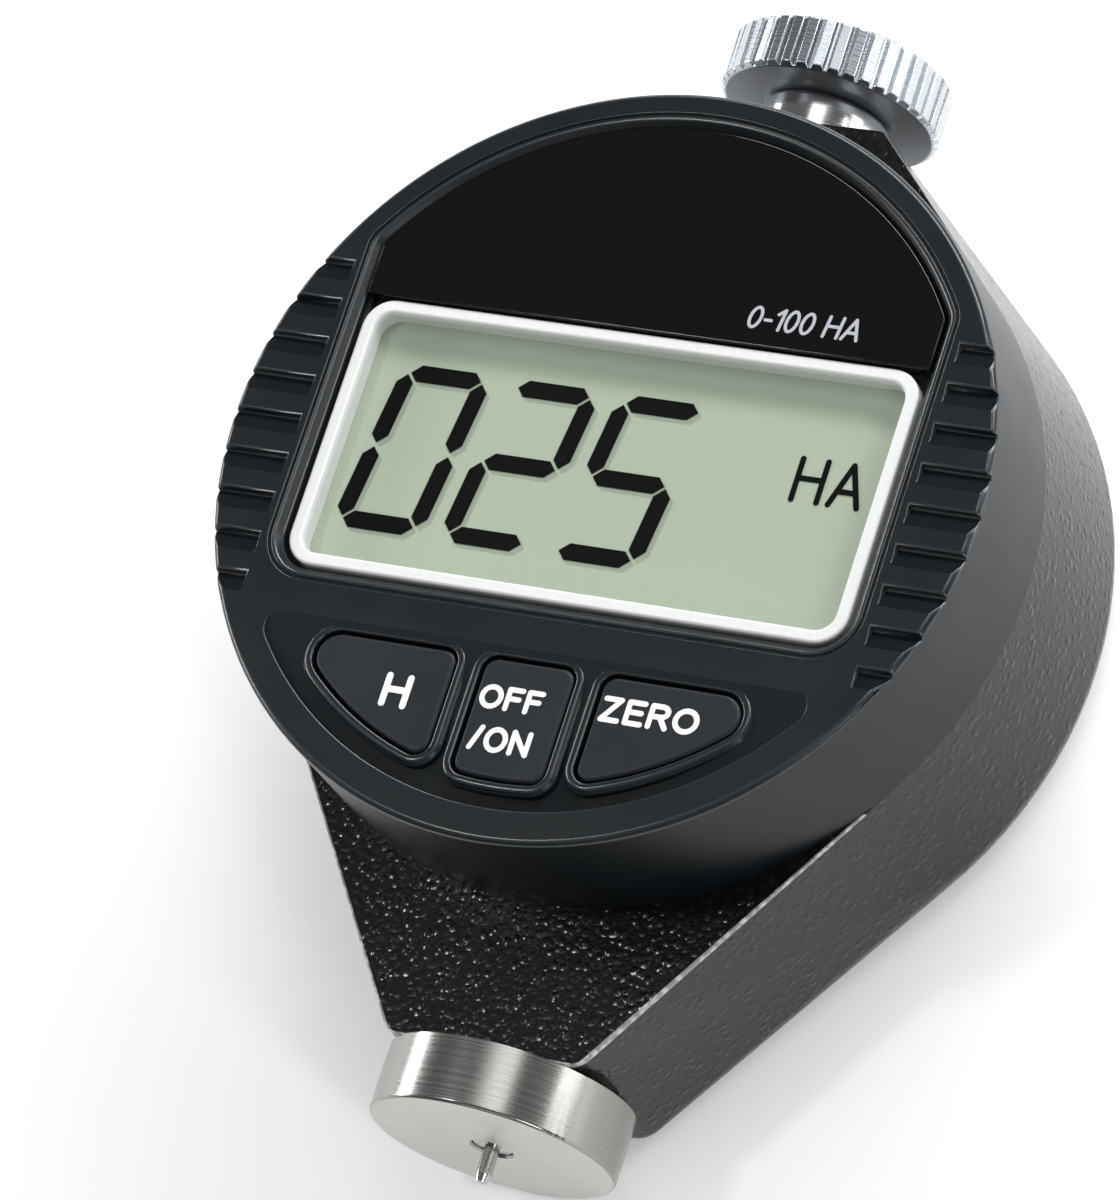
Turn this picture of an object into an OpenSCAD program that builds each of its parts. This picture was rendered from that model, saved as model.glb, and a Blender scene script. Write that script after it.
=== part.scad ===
// Digital durometer for rubber and soft plastics, lying on its back.
// A cast body carries the presser foot, the sprung indenter and the handle knob.
// A round head with a display and three keys closes the front of the casting.
// The origin is on the back face under the head's centre.
// +Y runs along the indenter towards the knob, and +Z points out of the display.

/* [Presser foot] */
// Diameter of the presser foot, which also sets the indenter's height above the back face
foot_d = 18; // [17.5:0.1:18.6]
// Height of the presser foot
foot_h = 4.95; // [4:0.05:6]
// Radius on the lower edge of the foot
foot_edge_r = 0.3; // [0.2:0.1:0.8]
// Diameter of the hole that the indenter comes out of
foot_hole_d = 3; // [2.6:0.1:3.2]
// Diameter of the foot's shank in the nose
shank_d = 9; // [8.5:0.1:9.4]
// Length of the shank above the foot
shank_len = 12; // [9:0.5:13]

/* [Indenter and spindle] */
// Diameter of the indenter
indenter_d = 1.15; // [1.15:0.05:1.35]
// How far the indenter stands out at rest, which is its whole travel
travel = 2.5; // [2:0.1:2.5]
// Diameter of the flat on the indenter's point
point_d = 0.79; // [0.6:0.01:1]
// Whole angle of the cone at the point
point_angle = 35; // [30:1:40]
// Diameter of the spindle
spindle_d = 3; // [2.8:0.1:3.2]
// Diameter of the load spring's wire
wire_d = 0.5; // [0.4:0.05:0.55]
// Number of turns of the load spring
spring_turns = 10; // [8:1:12]
// Thickness of the bracket that carries the spindle
bracket_t = 0.8; // [0.6:0.1:1]

/* [Casting] */
// How far the round end stands out past the head, at the back
casting_rim = 1.2; // [1:0.1:2]
// Draft of the round end, taken off its radius at the front
casting_draft = 1.2; // [0.5:0.1:1.2]
// Height of the head's seat above the indenter's axis
seat_rise = 6.3; // [6.2:0.1:7]
// Thickness of the back wall
floor_t = 2.2; // [1.8:0.1:2.6]
// Width of the seat round the pocket behind the head
seat_w = 3; // [2.8:0.1:3.2]
// Distance from the head's centre to the lower end of the nose
nose_reach = 40.2; // [39.5:0.1:42]
// Width of the nose at its lower end
nose_w = 17; // [16:0.2:18]
// Corner radius at the nose's lower end
nose_corner_r = 2.2; // [1.9:0.1:3]
// Radius on the nose's front edges
front_edge_r = 0.5; // [0.3:0.1:1.7]
// Radius on the round end's back edge
back_edge_r = 3; // [2:0.2:3.4]
// How far the pad under the knob stands out past the round end
pad_rise = 2.8; // [2:0.1:3.8]
// Width of that pad
pad_w = 16.8; // [15:0.2:17.4]

/* [Handle knob] */
// Diameter of the neck under the knob
neck_d = 9.8; // [9:0.1:11]
// Length of the neck from the pad to the knob
neck_len = 3.4; // [2.5:0.1:5]
// Diameter of the knob over its ridges
knob_d = 16.6; // [14:0.1:17.4]
// Height of the knob
knob_h = 4.25; // [4:0.05:6]
// Number of ridges round the knob
ridge_count = 42; // [36:2:48]
// Depth of the grooves between the ridges
ridge_depth = 0.35; // [0.2:0.05:0.6]
// Diameter of the stud that the knob turns on
stud_d = 5; // [4.5:0.1:6]
// Chamfer at both ends of the knob
knob_chamfer = 0.25; // [0.1:0.05:0.6]

/* [Display head] */
// Diameter of the head
head_d = 58; // [57.6:0.1:58.6]
// Depth of the head from its seat to its front face
head_depth = 11.1; // [11:0.1:12]
// Thickness of the head's side wall at its foot
head_wall = 2; // [1.8:0.1:2.2]
// Thickness of the head's front wall
front_wall = 2.2; // [2.1:0.1:2.4]
// Chamfer round the front edge
rim_chamfer = 0.3; // [0.2:0.1:0.8]
// Thickness of the cover that closes the head at the back
cover_t = 1.6; // [1.4:0.1:1.7]
// Diameter of the head's fixing screws
screw_d = 2; // [1.8:0.1:2.2]

/* [Display] */
// Width of the grip on each side, from the head's side to the display recess
grip_w = 6.9; // [6.8:0.1:7.3]
// Distance from the head's lower rim to the white surround
chin_h = 18.3; // [18.2:0.1:18.8]
// Width of the white surround's band
surround_band = 0.95; // [0.8:0.05:1.3]
// Gap between the surround and the recess round it
recess_gap = 0.4; // [0.3:0.05:0.5]
// Width of the rim outside the recess's arc
rim_w = 2.65; // [2.5:0.05:2.8]
// Depth of the recess
recess_depth = 1.6; // [1.5:0.05:1.7]
// Width of the bead round the recess
bead_w = 0.75; // [0.65:0.05:0.9]
// Depth of the fine groove outside the bead
bead_depth = 0.15; // [0.1:0.05:0.3]
// Thickness of the liquid crystal panel
panel_t = 1.8; // [1.4:0.1:2]

/* [Keys] */
// Distance from the surround down to the keys' upper edges
key_drop = 4.8; // [4.7:0.1:5.2]
// Distance from the head's rim to the keys' lower arcs
key_rim = 4.65; // [4.4:0.05:5]
// Width of the middle key
middle_key_w = 7; // [6.4:0.1:7.2]
// Gap between the middle key and each side key
key_spacing = 2.2; // [2.1:0.1:2.8]
// How far a key goes in
key_travel = 0.5; // [0.3:0.05:0.6]
// Width of the raised lip round each key
lip_w = 0.65; // [0.3:0.05:0.7]

/* [Grip grooves] */
// Number of grooves on each side of the head
groove_count = 9; // [5:2:9]
// Distance from one groove to the next
groove_pitch = 3.08; // [2.6:0.02:3.2]
// Width of a groove
groove_w = 1.6; // [1:0.1:2]
// Width of a groove's steep upper side
groove_wall = 0.25; // [0.15:0.05:0.5]
// Depth of a groove
groove_depth = 0.55; // [0.3:0.05:0.8]

/* [Battery] */
// Diameter of the button cell
cell_d = 11.6; // [11.4:0.1:11.8]
// Height of the button cell
cell_h = 5.4; // [5:0.1:5.5]
// Thickness of the tray's outer end, outside the cell
tray_end = 1.11; // [1:0.01:1.3]
// Direction in which the tray slides out, counted from +X
tray_angle = 115; // [113:1:118]

/* [Fits] */
// Radial gap of a shaft that slides or turns in its bore
run_gap = 0.05; // [0.03:0.01:0.08]
// Gap between fixed pieces that sit in one another
seat_gap = 0.05; // [0.03:0.01:0.1]
// Gap round pieces that slide without guiding each other
free_gap = 0.2; // [0.15:0.05:0.25]

/* [Hidden] */
// The sub-parts, and the one to draw
$fn = 96;

// Heights of the main faces above the back face
axis_z = foot_d / 2;
casting_depth = axis_z + seat_rise;
seat_z = casting_depth;
face_z = seat_z + head_depth;
under_z = face_z - front_wall;
cover_top_z = seat_z + cover_t;
board_z = cover_top_z + 1.1;
board_t = 1.2;
board_top_z = board_z + board_t;
ledge_z = face_z - recess_depth;
panel_z = under_z - seat_gap - panel_t;

// Radii of the head and of the casting behind it
head_r = head_d / 2;
casting_r = head_r + casting_rim;
pocket_r = head_r - seat_w;
pad_reach = casting_r + pad_rise;
inner_r = head_r - head_wall;
ledge_r = inner_r - 0.8;
recess_r = head_r - rim_w;
key_r = head_r - key_rim;

// Lengths along the indenter's axis, with the spindle's frame placed in the pocket
chin_y = -nose_reach;
foot_y = chin_y - foot_h;
tip_y = foot_y - travel;
spindle_y0 = foot_y + 9.95;
lug_y0 = 5.8 - pocket_r;
lug_y1 = pocket_r - 10;
bush_top_y = lug_y0 + 6.9;
spring_y0 = bush_top_y + 1.6;
adjuster_y = lug_y1 - 3.2;
carrier_y = lug_y1 + 2.3;
carrier_l = 3.4;
spindle_y1 = carrier_y + 2.5;

// Battery tray, in a frame turned to its slide
tray_wall = 0.8;
tray_hw = cell_d / 2 + tray_wall;
cell_u = head_r - tray_end - cell_d / 2;
tray_u0 = cell_u - cell_d / 2 - tray_wall;

// Display, which fills the head's width between the grips and its height below the battery tray
panel_side = 0.5;
panel_edge = 0.65;
panel_top_y = tray_u0 * sin(tray_angle) - tray_hw * abs(cos(tray_angle)) - 0.4;
surround_w = head_d - 2 * (grip_w + recess_gap);
surround_h = panel_top_y - panel_edge + head_r - chin_h;
display_y = panel_top_y - panel_edge - surround_h / 2;
recess_hw = surround_w / 2 + recess_gap;
recess_y0 = display_y - surround_h / 2 - recess_gap;
panel_w = surround_w + 2 * panel_side;
panel_h = surround_h + 2 * panel_edge;
key_y = display_y - surround_h / 2 - key_drop;
side_key_x = middle_key_w / 2 + key_spacing;
key_top_z = face_z - 0.15;
flange_t = 0.8;
flange_w = 0.65;
flange_z = under_z - 0.1 - flange_t;
dome_h = 0.7;
dome_r = 2.5;

// Fixing screws of the head, at the corners of a rectangle clear of the panel
post_r = 2.2;
post_y = panel_h / 2 + abs(display_y) + post_r + 0.5;
post_x = sqrt(pow(pocket_r - 1.8, 2) - pow(post_y, 2));
boss_ring = ledge_r - 4.3;
board_bosses = [boss_ring * [cos(57), sin(57)], [-9, key_y + 2.4], [9, key_y + 2.4]];

// Heights of the battery tray and its cell
tray_z0 = cover_top_z + 0.3;
tray_top_z = under_z - 0.3;
cell_z = tray_top_z - 0.1 - cell_h;

// Colours of the sub-parts
paint_black = [0.05, 0.05, 0.055];
plastic_black = [0.09, 0.1, 0.11];
steel = [0.75, 0.76, 0.78];
brass = [0.72, 0.6, 0.32];
board_green = [0.1, 0.3, 0.18];

// Points of an arc about c, from angle a to angle b
function arc(c, r, a, b, n) = [for (i = [0 : n]) c + r * [cos(a + (b - a) * i / n), sin(a + (b - a) * i / n)]];

// Direction of a point seen from the head's centre
function direction(p) = atan2(p[1], p[0]);

// Outline of a rectangle with round corners, about c
function round_box(c, w, h, r) = concat(
    arc(c + [w / 2 - r, h / 2 - r], r, 0, 90, 8),
    arc(c + [r - w / 2, h / 2 - r], r, 90, 180, 8),
    arc(c + [r - w / 2, r - h / 2], r, 180, 270, 8),
    arc(c + [w / 2 - r, r - h / 2], r, 270, 360, 8));

// Outline of the display recess grown by g: a box whose upper end is an arc about the head's centre
recess_corner = 2.6;
recess_shoulder = 1.5;
shoulder_at = [recess_hw - recess_shoulder,
    sqrt(pow(recess_r - recess_shoulder, 2) - pow(recess_hw - recess_shoulder, 2))];
function recess_outline(g) = concat(
    arc([recess_hw - recess_corner, recess_y0 + recess_corner], recess_corner + g, 270, 360, 8),
    arc(shoulder_at, recess_shoulder + g, 0, direction(shoulder_at), 4),
    arc([0, 0], recess_r + g, direction(shoulder_at), 180 - direction(shoulder_at), 48),
    arc([-shoulder_at[0], shoulder_at[1]], recess_shoulder + g, 180 - direction(shoulder_at), 180, 4),
    arc([recess_corner - recess_hw, recess_y0 + recess_corner], recess_corner + g, 180, 270, 8));

// Outline of the right-hand key grown by g: its lower edge is an arc about the head's centre
key_corner = 1;
key_tip = 1.7;
key_tip_at = [sqrt(pow(key_r - key_tip, 2) - pow(key_y - key_tip, 2)), key_y - key_tip];
key_low_at = [side_key_x + key_corner,
    -sqrt(pow(key_r - key_corner, 2) - pow(side_key_x + key_corner, 2))];
side_key_at = [(side_key_x + key_tip_at[0]) / 2, (key_y + key_low_at[1]) / 2];
middle_key_at = [0, (key_y - key_r) / 2];
function side_outline(g) = concat(
    arc(key_tip_at, key_tip + g, direction(key_tip_at), 90, 10),
    arc([side_key_x + key_corner, key_y - key_corner], key_corner + g, 90, 180, 6),
    arc(key_low_at, key_corner + g, 180, 360 + direction(key_low_at), 8),
    arc([0, 0], key_r + g, direction(key_low_at), direction(key_tip_at), 12));

// Outline of the middle key grown by g
middle_low_at = [middle_key_w / 2 - key_corner,
    -sqrt(pow(key_r - key_corner, 2) - pow(middle_key_w / 2 - key_corner, 2))];
function middle_outline(g) = concat(
    arc(middle_low_at, key_corner + g, direction(middle_low_at), 0, 7),
    arc([middle_low_at[0], key_y - key_corner], key_corner + g, 0, 90, 6),
    arc([-middle_low_at[0], key_y - key_corner], key_corner + g, 90, 180, 6),
    arc([-middle_low_at[0], middle_low_at[1]], key_corner + g, 180, 180 - direction(middle_low_at), 7),
    arc([0, 0], key_r + g, 180 - direction(middle_low_at), 360 + direction(middle_low_at), 6));

// Outline of the crescent that the keys stand in
crescent_r = recess_r + 0.15;
crescent_y = key_y + 1.3;
crescent_corner = 1.5;
crescent_at = [sqrt(pow(crescent_r - crescent_corner, 2) - pow(crescent_y - crescent_corner, 2)),
    crescent_y - crescent_corner];
function crescent_outline() = concat(
    arc(crescent_at, crescent_corner, direction(crescent_at), 90, 10),
    arc([-crescent_at[0], crescent_at[1]], crescent_corner, 90, 180 - direction(crescent_at), 10),
    arc([0, 0], crescent_r, 180 - direction(crescent_at), 360 + direction(crescent_at), 40));

// Section of a turned block with a round back edge and front edge, standing a little past both faces
sink = 0.15;
function block_section(back_r, front_r, back_edge, front_edge) = concat(
    [[0, -sink]],
    arc([back_r - back_edge, back_edge - sink], back_edge, 270, 360, 8),
    arc([front_r - front_edge, casting_depth + sink - front_edge], front_edge, 0, 90, 6),
    [[0, casting_depth + sink]]);

// A prism on an outline between two heights
module slab(outline, z0, z1) {
    translate([0, 0, z0])
        linear_extrude(height = z1 - z0)
            polygon(outline);
}

// Children that were drawn along +Z, laid along the indenter's axis from height y
module on_axis(y) {
    translate([0, y, axis_z])
        rotate([-90, 0, 0])
            children();
}

// Children in the tray's frame, where +X is the way it slides out
module on_tray() {
    rotate([0, 0, tray_angle])
        children();
}

// Children at each fixing screw of the head
module at_posts() {
    for (x = [-post_x, post_x])
        for (y = [-post_y, post_y])
            translate([x, y, 0])
                children();
}

// Children at each screw of the guide bracket
module at_bracket_screws() {
    for (x = [-6, 6])
        for (y = [lug_y0 + 5, lug_y1 - 4])
            translate([x, y, 0])
                children();
}

// Outside of the casting: the round end, the nose's corners and the knob's pad in one skin
module casting_skin() {
    intersection() {
        hull() {
            rotate_extrude($fn = 96)
                polygon(block_section(casting_r, casting_r - casting_draft, back_edge_r, 0.3));
            for (x = [-1, 1]) {
                translate([x * (nose_w / 2 - nose_corner_r), chin_y + nose_corner_r, 0])
                    rotate_extrude($fn = 32)
                        polygon(block_section(nose_corner_r, nose_corner_r, nose_corner_r - 0.3, front_edge_r));
                translate([x * (pad_w / 2 - 1.2), pad_reach - 1.2, 0])
                    rotate_extrude($fn = 32)
                        polygon(block_section(1.2, 1.2, 1, 0.4));
            }
        }
        translate([-head_d, -2 * nose_reach, 0])
            cube([2 * head_d, 4 * nose_reach, casting_depth]);
    }
}

sleeve_r = spindle_d / 2 + 1.4;
nut_r = sleeve_r + 1.2;
bracket_z = axis_z - nut_r - 0.4 - bracket_t;
module body_casting() {
    color(paint_black)
        difference() {
            union() {
                difference() {
                    casting_skin();
                    translate([0, 0, floor_t])
                        cylinder(r = pocket_r, h = casting_depth);
                }
                at_posts()
                    translate([0, 0, floor_t - 0.5])
                        cylinder(r = post_r + 0.4, h = casting_depth - floor_t + 0.5);
                at_bracket_screws()
                    translate([0, 0, floor_t - 0.5])
                        cylinder(r = 2, h = bracket_z - floor_t + 0.5);
            }
            on_axis(chin_y - 1)
                cylinder(r = shank_d / 2 + seat_gap, h = nose_reach - pocket_r + 3);
            on_axis(pocket_r - 3)
                cylinder(r = stem_r + seat_gap, h = pad_reach - pocket_r + 5);
            at_posts()
                screw_bore();
            at_bracket_screws()
                translate([0, 0, floor_t - 0.8])
                    cylinder(r = 0.8, h = bracket_z);
        }
}

// Clearance bore and countersink for a fixing screw of the head
module screw_bore() {
    translate([0, 0, -1])
        cylinder(d = screw_d + 0.4, h = casting_depth + 2);
    translate([0, 0, -0.01])
        cylinder(r1 = screw_d + 0.35, r2 = screw_d / 2, h = screw_d / 2 + 0.35);
}

// Foot with a round lower edge, a chamfered hole and a hollow shank
bore_r = spindle_d / 2 + 1.1;
module presser_foot() {
    color(steel)
        on_axis(foot_y)
            rotate_extrude()
                difference() {
                    union() {
                        translate([foot_hole_d / 2, foot_edge_r])
                            square([(foot_d - foot_hole_d) / 2, foot_h - foot_edge_r]);
                        translate([foot_hole_d / 2, 0])
                            square([(foot_d - foot_hole_d) / 2 - foot_edge_r, foot_h]);
                        translate([foot_d / 2 - foot_edge_r, foot_edge_r])
                            circle(r = foot_edge_r);
                        translate([bore_r, foot_h / 2])
                            square([shank_d / 2 - bore_r, foot_h / 2 + shank_len]);
                    }
                    translate([0, foot_h / 2])
                        square([bore_r, foot_h]);
                    polygon([[0, -1], [foot_hole_d / 2 + 1.15, -1], [foot_hole_d / 2, 0.15], [0, 0.15]]);
                }
}

// Hardened point with a truncated cone, and a collar that runs in the foot's hole
cone_h = (indenter_d - point_d) / 2 / tan(point_angle / 2);
collar_r = foot_hole_d / 2 - 0.08;
collar_sink = 0.2;
module indenter() {
    color(steel)
        on_axis(tip_y)
            rotate_extrude()
                polygon([[0, 0], [point_d / 2, 0], [indenter_d / 2, cone_h],
                    [indenter_d / 2, travel + collar_sink], [collar_r, travel + collar_sink],
                    [collar_r, travel + foot_h / 2 - 0.2], [indenter_d / 2, travel + foot_h / 2 - 0.2],
                    [indenter_d / 2, spindle_y0 + 6 - tip_y], [0, spindle_y0 + 6 - tip_y]]);
}

module spindle() {
    color(steel)
        on_axis(spindle_y0)
            difference() {
                cylinder(d = spindle_d, h = spindle_y1 - spindle_y0);
                translate([0, 0, -1])
                    cylinder(r = indenter_d / 2 + 0.02, h = 7.02);
            }
}

// Collar on the spindle that the load spring pushes against the lower bush
module spring_seat() {
    color(brass)
        on_axis(bush_top_y + 0.1)
            difference() {
                cylinder(r = spindle_d / 2 + 1.9, h = spring_y0 - bush_top_y - 0.1 - seat_gap);
                translate([0, 0, -1])
                    cylinder(r = spindle_d / 2 + 0.02, h = 5);
            }
}

// Points of the spring's wire: a ring of 6 points at each of its steps
coil_r = spindle_d / 2 + 0.8;
coil_steps = spring_turns * 20;
coil_length = adjuster_y - spring_y0 - wire_d;
coil_rise = coil_length / spring_turns / 2 / PI;
function coil_point(i, k) =
    let (a = i * 18, tilt = atan(coil_rise / coil_r), u = wire_d / 2 * cos(k * 60), v = wire_d / 2 * sin(k * 60))
    [(coil_r + u) * cos(a) + v * sin(tilt) * sin(a),
        (coil_r + u) * sin(a) - v * sin(tilt) * cos(a),
        coil_length * i / coil_steps + v * cos(tilt)];
module load_spring() {
    color(steel)
        on_axis(spring_y0 + wire_d / 2)
            polyhedron(
                points = [for (i = [0 : coil_steps]) for (k = [0 : 5]) coil_point(i, k)],
                faces = concat(
                    [[0, 1, 2, 3, 4, 5]],
                    [[for (k = [5 : -1 : 0]) coil_steps * 6 + k]],
                    [for (i = [0 : coil_steps - 1]) for (k = [0 : 5])
                        [i * 6 + k, (i + 1) * 6 + k, (i + 1) * 6 + (k + 1) % 6]],
                    [for (i = [0 : coil_steps - 1]) for (k = [0 : 5])
                        [i * 6 + k, (i + 1) * 6 + (k + 1) % 6, i * 6 + (k + 1) % 6]]));
}

// Flanged guide bush in the lower lug, whose upper end is the spindle's stop
bush_r = spindle_d / 2 + 1.3;
module lower_bush() {
    color(brass)
        on_axis(lug_y0 - 1)
            difference() {
                union() {
                    cylinder(r = bush_r, h = bush_top_y - lug_y0 + 1);
                    translate([0, 0, 1 + bracket_t + seat_gap])
                        cylinder(r = bush_r + 0.8, h = 1);
                }
                translate([0, 0, -1])
                    cylinder(r = spindle_d / 2 + run_gap, h = 20);
            }
}

// Threaded sleeve in the upper lug that guides the spindle and sets the spring's load
module spring_adjuster() {
    color(brass)
        on_axis(adjuster_y)
            difference() {
                union() {
                    cylinder(r = sleeve_r, h = carrier_y - adjuster_y - 0.4);
                    cylinder(r = sleeve_r + 0.5, h = 1);
                }
                translate([0, 0, -1])
                    cylinder(r = spindle_d / 2 + run_gap, h = 20);
            }
}

module lock_nut() {
    color(steel)
        on_axis(lug_y1 - 1.4)
            difference() {
                cylinder(r = nut_r, h = 1.4 - seat_gap, $fn = 6);
                translate([0, 0, -1])
                    cylinder(r = sleeve_r + seat_gap, h = 5);
            }
}

// Bent sheet with two lugs that carry the spindle's guides
lug_top = 4;
module guide_bracket() {
    color(steel)
        difference() {
            union() {
                translate([-8, lug_y0, bracket_z])
                    cube([16, lug_y1 + bracket_t - lug_y0, bracket_t]);
                for (y = [lug_y0, lug_y1])
                    translate([-5.5, y, bracket_z])
                        cube([11, bracket_t, axis_z + lug_top - bracket_z]);
            }
            on_axis(lug_y0 - 1)
                cylinder(r = bush_r + seat_gap, h = 3);
            on_axis(lug_y1 - 1)
                cylinder(r = sleeve_r + seat_gap, h = 3);
            translate([pin_x, 0, pin_z - axis_z])
                on_axis(lug_y1 - 1)
                    cylinder(r = pin_r + 0.02, h = 3);
            at_bracket_screws()
                translate([0, 0, bracket_z - 1])
                    cylinder(r = 1, h = 4);
        }
}

module bracket_screws() {
    color(steel)
        at_bracket_screws() {
            translate([0, 0, floor_t])
                cylinder(r = 0.75, h = bracket_z + bracket_t - floor_t + 0.2);
            translate([0, 0, bracket_z + bracket_t])
                cylinder(r = 1.5, h = 0.9);
        }
}

// Pin in the upper lug that stops the spindle from turning
pin_r = 0.7;
pin_x = 4.3;
pin_z = axis_z - 1.2;
module guide_pin() {
    color(steel)
        translate([pin_x, 0, pin_z - axis_z])
            on_axis(lug_y1)
                cylinder(r = pin_r, h = pocket_r - 1.2 - lug_y1);
}

// Block on the spindle's upper end that carries the scale and runs on the guide pin
strip_z = axis_z + lug_top + 0.3;
strip_hw = 4;
strip_l = 19;
module scale_carrier() {
    color(brass)
        difference() {
            translate([-strip_hw, carrier_y, axis_z - 2.6])
                cube([pin_x + 1.5 + strip_hw, carrier_l, strip_z - axis_z + 2.6]);
            on_axis(carrier_y - 1)
                cylinder(r = spindle_d / 2 + 0.02, h = 6);
            translate([pin_x, 0, pin_z - axis_z])
                on_axis(carrier_y - 1)
                    cylinder(r = pin_r + run_gap, h = 6);
        }
}

module scale_strip() {
    color(board_green)
        translate([-strip_hw, carrier_y + carrier_l - 1 - strip_l, strip_z])
            cube([2 * strip_hw, strip_l, 0.6]);
}

module sensor_board() {
    color(board_green)
        translate([-7, -4, seat_z - 1])
            cube([14, carrier_y + 8, 1]);
}

header_y = -2;
module board_header() {
    color(plastic_black)
        translate([-3, header_y - 1.2, seat_z])
            cube([6, 2.4, board_z - seat_z]);
}

// Turned neck with a spigot in the casting and a stud that the knob turns on
stem_r = 3;
knob_y = pad_reach + neck_len;
module knob_stem() {
    color(steel)
        on_axis(pocket_r + 1)
            rotate_extrude()
                polygon([[0, 0], [stem_r, 0], [stem_r, pad_reach - pocket_r - 1],
                    [neck_d / 2, pad_reach - pocket_r - 1], [neck_d / 2, knob_y - pocket_r - 1.45],
                    [neck_d / 2 - 0.4, knob_y - pocket_r - 1.05], [stud_d / 2, knob_y - pocket_r - 1.05],
                    [stud_d / 2, knob_y - pocket_r + 1.7], [0, knob_y - pocket_r + 1.7]]);
}

// Round knob with straight ridges, turned off at an angle at both edges
ridge_step = 360 / ridge_count;
function ridge_points() = [for (i = [0 : ridge_count - 1])
    for (k = [[-0.3, 0], [0.3, 0], [0.42, 1], [0.58, 1]])
        (knob_d / 2 - k[1] * ridge_depth) * [cos((i + k[0]) * ridge_step), sin((i + k[0]) * ridge_step)]];
module knob() {
    color(steel)
        on_axis(knob_y)
            difference() {
                intersection() {
                    linear_extrude(height = knob_h)
                        polygon(ridge_points());
                    rotate_extrude()
                        polygon([[0, 0], [knob_d / 2 - knob_chamfer, 0], [knob_d / 2 + 0.05, knob_chamfer + 0.05],
                            [knob_d / 2 + 0.05, knob_h - knob_chamfer - 0.05],
                            [knob_d / 2 - knob_chamfer, knob_h], [0, knob_h]]);
                }
                translate([0, 0, -1])
                    cylinder(r = stud_d / 2 + run_gap, h = 4);
            }
}

// Solid left standing round a key's aperture, with a soft outer edge
module key_lip(wide, narrow) {
    hull() {
        slab(wide, face_z - 1.2, face_z - 0.35);
        slab(narrow, face_z - 0.1, face_z - 0.05);
    }
}

// Cup of the head before its front is cut
module bezel_cup() {
    rotate_extrude()
        polygon([[0, under_z], [ledge_r, under_z], [ledge_r, cover_top_z + seat_gap],
            [inner_r, cover_top_z + seat_gap], [inner_r, seat_z], [head_r, seat_z],
            [head_r, face_z - rim_chamfer], [head_r - rim_chamfer, face_z], [0, face_z]]);
}

// Sloping floor of the crescent round the keys
crescent_tilt = 5;
module crescent_cut() {
    intersection() {
        slab(crescent_outline(), face_z - 2, face_z + 1);
        translate([0, crescent_y - 0.4, face_z])
            rotate([crescent_tilt, 0, 0])
                translate([-head_d, -head_d, 0])
                    cube([2 * head_d, head_d, 5]);
    }
}

// Grooves across the rim on both sides, each with a steep upper side and a long lower slope
grip_start = bead_w + 0.85;
module grip_grooves() {
    for (i = [0 : groove_count - 1])
        for (s = [0, 1])
            mirror([s, 0, 0])
                translate([recess_hw + grip_start, (i - (groove_count - 1) / 2) * groove_pitch, face_z])
                    rotate([90, 0, 90])
                        linear_extrude(height = grip_w)
                            polygon([[0, -groove_depth], [groove_wall, 0], [groove_wall, 1],
                                [groove_wall - groove_w, 1], [groove_wall - groove_w, 0]]);
}

// Fine groove that leaves a bead standing round the display recess
bead_gap = 0.25;
module bead_groove() {
    difference() {
        slab(recess_outline(bead_w + bead_gap), face_z - bead_depth, face_z + 1);
        slab(recess_outline(bead_w), face_z - 1, face_z + 2);
    }
}

// Front housing of the head: recess, lipped keys, grips, screw posts and the tray's slot
module head_bezel() {
    color(plastic_black)
        difference() {
            union() {
                difference() {
                    bezel_cup();
                    crescent_cut();
                }
                key_lip(middle_outline(lip_w + 0.3), middle_outline(lip_w));
                key_lip(side_outline(lip_w + 0.3), side_outline(lip_w));
                mirror([1, 0, 0])
                    key_lip(side_outline(lip_w + 0.3), side_outline(lip_w));
                at_posts()
                    translate([0, 0, seat_z])
                        cylinder(r = post_r, h = under_z - seat_z + 0.3);
                for (p = board_bosses)
                    translate([p[0], p[1], board_top_z])
                        cylinder(r = 1.4, h = under_z - board_top_z + 0.3);
            }
            slab(recess_outline(0), ledge_z, face_z + 1);
            hull() {
                slab(recess_outline(0), face_z - 0.5, face_z - 0.49);
                slab(recess_outline(0.7), face_z + 0.2, face_z + 0.21);
            }
            slab(round_box([0, display_y], surround_w + 0.1, surround_h + 0.1, 2.3), under_z - 1, face_z);
            slab(middle_outline(free_gap), under_z - 1, face_z + 1);
            slab(side_outline(free_gap), under_z - 1, face_z + 1);
            mirror([1, 0, 0])
                slab(side_outline(free_gap), under_z - 1, face_z + 1);
            grip_grooves();
            bead_groove();
            at_posts()
                translate([0, 0, seat_z - 1])
                    cylinder(r = screw_d / 2 + 0.02, h = 7.5);
            for (p = board_bosses)
                translate([p[0], p[1], board_top_z - 1])
                    cylinder(r = 0.72, h = 4);
            on_tray()
                translate([tray_u0 - 0.4, -tray_hw - free_gap, tray_z0 - 0.1])
                    cube([head_r, 2 * (tray_hw + free_gap), tray_top_z - tray_z0 + 0.2]);
        }
}

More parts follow.
